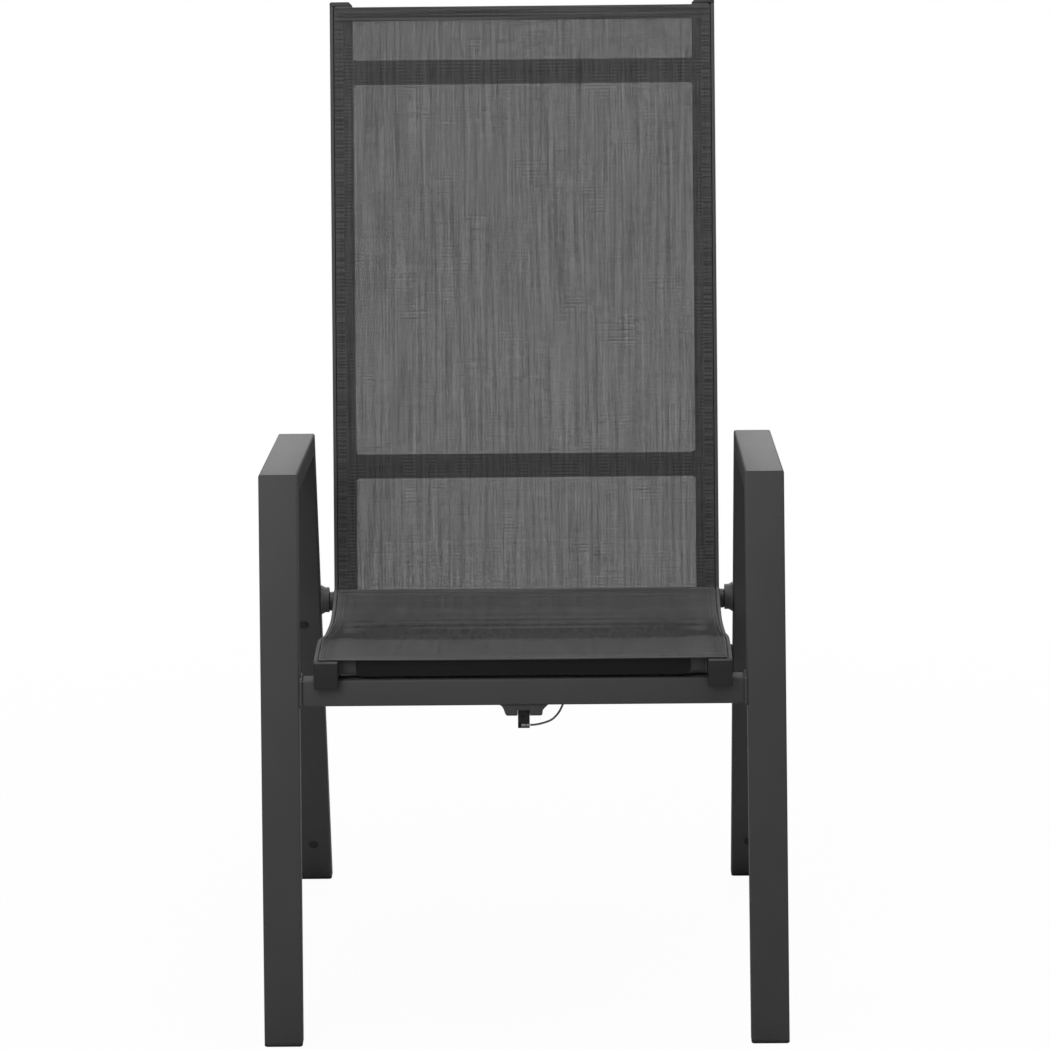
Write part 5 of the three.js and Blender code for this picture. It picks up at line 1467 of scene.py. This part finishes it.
def yoke_wing(side):
    """One wing of the yoke's front plate: its outer edge curves in from the crossbar to a rounded corner."""
    notch = HEAD_WIDTH / 2 + HEAD_PLAY
    outline = [(notch, 0.0), *YOKE_EDGES[side], (notch, YOKE_EDGES[side][-1][1])]
    front = CROSSBAR_SETBACK + TUBE_CORNER
    rings = [
        [spot(side * x, y, under_crossbar - SLIT - drop) for x, drop in outline]
        for y in (front - YOKE_LAP, front + YOKE_PLATE + YOKE_LAP / 2)
    ]
    return lofted("yoke_wing", rings, COAT, bevel=YOKE_EDGE)


def cylinder_profile(mouth, tail, tail_end):
    """The spring's tube: rounded mouth with a rolled groove, and a stepped tail."""
    c, bore, deep = CYLINDER_RADIUS, ROD_RADIUS + SLIT, mouth + ROD_LENGTH
    return [
        (deep, 0.0), (deep, bore), (mouth, bore), (mouth, c - 0.0042), (mouth + 0.0006, c - 0.0030),
        (mouth + 0.0016, c - 0.0012), (mouth + 0.0034, c), (mouth + 0.0090, c), (mouth + 0.0098, c - 0.0007),
        (mouth + 0.0112, c - 0.0007), (mouth + 0.0120, c), (tail - 0.0052, c), (tail - 0.0030, c - 0.0008),
        (tail - 0.0012, c - 0.0028), (tail, TAIL_RADIUS + 0.0008), (tail + 0.0008, TAIL_RADIUS),
        (tail_end, TAIL_RADIUS), (tail_end, 0.0),
    ]


def build_spring():
    front_half = HEAD_WIDTH / 2 + HEAD_PLAY + CHEEK_THICKNESS
    rear_half = EYE_WIDTH / 2 + EYE_PLAY + CHEEK_THICKNESS
    cheeks = from_node("spring_front_bracket", "yoke_cheeks", COAT, SMALL_EDGE, 2)
    keep_middle(cheeks, front_half)
    bracket = joined("spring_front_yoke", [cheeks, yoke_wing(-1), yoke_wing(1)])
    settle_in(bracket, "frame", "spring_front_bracket")
    settle_in(pin_across("spring_front_clevis_pin", front_half, spring_front), "frame", "spring_front_pin")
    settle_in(pin_across("spring_rear_clevis_pin", rear_half, rear_eye), "back", "spring_rear_pin")

    r, edge, hole = FERRULE_RADIUS, SMALL_EDGE, CABLE_RADIUS * 0.6
    crimp, crimp_end = FERRULE_LENGTH * 0.3, FERRULE_LENGTH * 0.42
    ferrule_profile = [
        (0.0, hole), (0.0, r - edge), (0.0004, r), (crimp, r), (crimp + 0.0003, r - 0.0003),
        (crimp_end, r - 0.0003), (crimp_end + 0.0003, r), (FERRULE_LENGTH - 0.0004, r), (FERRULE_LENGTH, r - edge),
        (FERRULE_LENGTH, hole),
    ]
    ferrule_end = (HEAD_WIDTH / 2 - SLIT / 2, FERRULE_SETBACK - HEAD_FRONT, -FERRULE_DROP)
    ferrule = turned("crimped_ferrule", ferrule_end, (-1, 0, 0), ferrule_profile, CRIMP, sides=24)

    r = ROD_RADIUS
    rod_profile = [
        (0.0, 0.0), (0.0, r - edge), (edge, r), (ROD_LENGTH - edge, r), (ROD_LENGTH, r - edge), (ROD_LENGTH, 0.0),
    ]
    rod = turned("polished_spring_rod", (0, HEAD_BACK - ROD_SEAT + SLIT, 0), (0, 1, 0), rod_profile, STEEL)

    eye_inner = SPRING_PIN_RADIUS + SPRING_REAR_PLAY
    eye_outer = eye_inner + EYE_WALL
    tail_end = spring_length - eye_inner - EYE_WALL / 2
    profile = cylinder_profile(HEAD_BACK + ROD_VISIBLE, spring_length - CYLINDER_TAIL, tail_end)
    w = EYE_WIDTH / 2
    eye_ring = [
        (-w, eye_inner), (-w, eye_outer - 0.0006), (-w + 0.0006, eye_outer), (w - 0.0006, eye_outer),
        (w, eye_outer - 0.0006), (w, eye_inner),
    ]
    cylinder = joined("gas_spring_cylinder", [
        turned("spring_tube", (0, 0, 0), (0, 1, 0), profile, PAINT, sides=40),
        open_ring("spring_eye", (0, spring_length, 0), (1, 0, 0), eye_ring, PAINT),
    ])
    moving = {
        "cable_ferrule": (ferrule, "spring_rod"),
        "spring_rod": (rod, "spring_rod"),
        "spring_cylinder": (cylinder, "spring_cylinder"),
    }
    for node, (piece, body) in moving.items():
        piece.data.transform(SPRING_PLACE)
        settle_in(piece, body, node)


def build_grip():
    """Ribs under the release lever, where the fingers lie."""
    underside = front_corner - arm_bar.up * TUBE_DEPTH
    to_leg = (TUBE_DEPTH - underside.y) / arm_way.y
    under_arm = underside + arm_way * (to_leg + LEVER_BEHIND_LEG)
    x = tube_middle + splay_at(under_arm.z)
    place = Matrix.Translation(spot(x, under_arm.y, under_arm.z)) @ Matrix.Rotation(-arm_slope, 4, "X")
    half = LEVER_WIDTH / 2 - 0.003
    ribs = []
    for k in range(RIB_COUNT):
        share = FIRST_RIB_SHARE + RIB_STEP_SHARE * k
        thick = LEVER_ROOT_HALF + (LEVER_TIP_HALF - LEVER_ROOT_HALF) * share
        under = -LEVER_PIN_DROP - LEVER_TIP_DROP * share - thick
        ribs.append([place @ Vector((u, LEVER_LENGTH * share, under)) for u in np.linspace(-half, half, 5)])
    settle_in(row_along("lever_grip_ribs", ribs, RIB, PLASTIC), "lever")


def dress_cable():
    release_cable.data.materials.append(SHEATH)
    settle_in(release_cable, "frame", "release_cable")
    tuple(cable_line[0])
    route_length(cable_line)


# --- Room ---------------------------------------------------------------------------------------------------------


def build_room():
    """A white room for the eye, for reflections and through the mesh's holes, and a dim one for the light it gives."""
    scene = bpy.context.scene
    scene.view_settings.view_transform = "Standard"
    scene.world = bpy.data.worlds.new("studio")
    scene.world.use_nodes = True
    scene.world.node_tree.nodes.clear()
    nodes = Nodes(scene.world.node_tree)
    ray = nodes.add("ShaderNodeLightPath").outputs
    seen = nodes.calc("MAXIMUM", ray["Is Camera Ray"], ray["Is Glossy Ray"])
    seen = nodes.calc("MAXIMUM", seen, ray["Is Transmission Ray"])
    lit, white = (
        nodes.add("ShaderNodeBackground", {"Color": (1, 1, 1, 1), "Strength": strength}).outputs[0]
        for strength in (ROOM_LIGHT, 1.0)
    )
    mixed = nodes.add("ShaderNodeMixShader", {"Fac": seen, 1: lit, 2: white})
    nodes.add("ShaderNodeOutputWorld", {"Surface": mixed.outputs[0]})


def build_floor():
    """A pale floor that looks white from the camera and through the mesh's holes, but for the shade at the feet."""
    half = FLOOR_HALF
    mesh = bpy.data.meshes.new("studio_floor")
    corners = [(x, y, -FLOOR_DROP) for x, y in ((-half, -half), (half, -half), (half, half), (-half, half))]
    mesh.from_pydata(corners, [], [(0, 1, 2, 3)])
    board = Board("pale_floor")
    board.tree.nodes.remove(board.shader)
    matt = board.add("ShaderNodeBsdfDiffuse", {"Color": (FLOOR_TONE, FLOOR_TONE, FLOOR_TONE, 1)})
    bright = board.add("ShaderNodeEmission", {"Color": (1, 1, 1, 1)})
    ray = board.add("ShaderNodeLightPath").outputs
    seen = board.calc("MAXIMUM", ray["Is Camera Ray"], ray["Is Transmission Ray"])
    away = board.add("ShaderNodeVectorMath", {0: board.place()}, operation="LENGTH").outputs["Value"]
    share = board.times(seen, board.ramp(away, FLOOR_GLOW_FROM, FLOOR_GLOW_FULL, FLOOR_GLOW, 1.0))
    mixed = board.add("ShaderNodeMixShader", {"Fac": share, 1: matt.outputs[0], 2: bright.outputs[0]})
    board.put(mixed.outputs[0], board.tree.nodes["Material Output"].inputs["Surface"])
    floor = place_mesh("studio_floor", mesh, board.material)


def hang_lamps():
    for name, (place, target, size, power) in LAMPS.items():
        data = bpy.data.lights.new(name, "AREA")
        data.shape = "RECTANGLE"
        data.size, data.size_y = size
        data.energy = power
        lamp = to_scene(name, data)
        lamp.location = place
        lamp.rotation_mode = "QUATERNION"
        lamp.rotation_quaternion = (Vector(target) - Vector(place)).to_track_quat("-Z", "Y")


build_room()
build_floor()
hang_lamps()
build_side_frames()
build_feet_and_plugs()
build_crossbars()
build_rails()
build_bars()
build_slings()
build_copies()
build_pivots()
build_spring()
build_grip()
dress_cable()
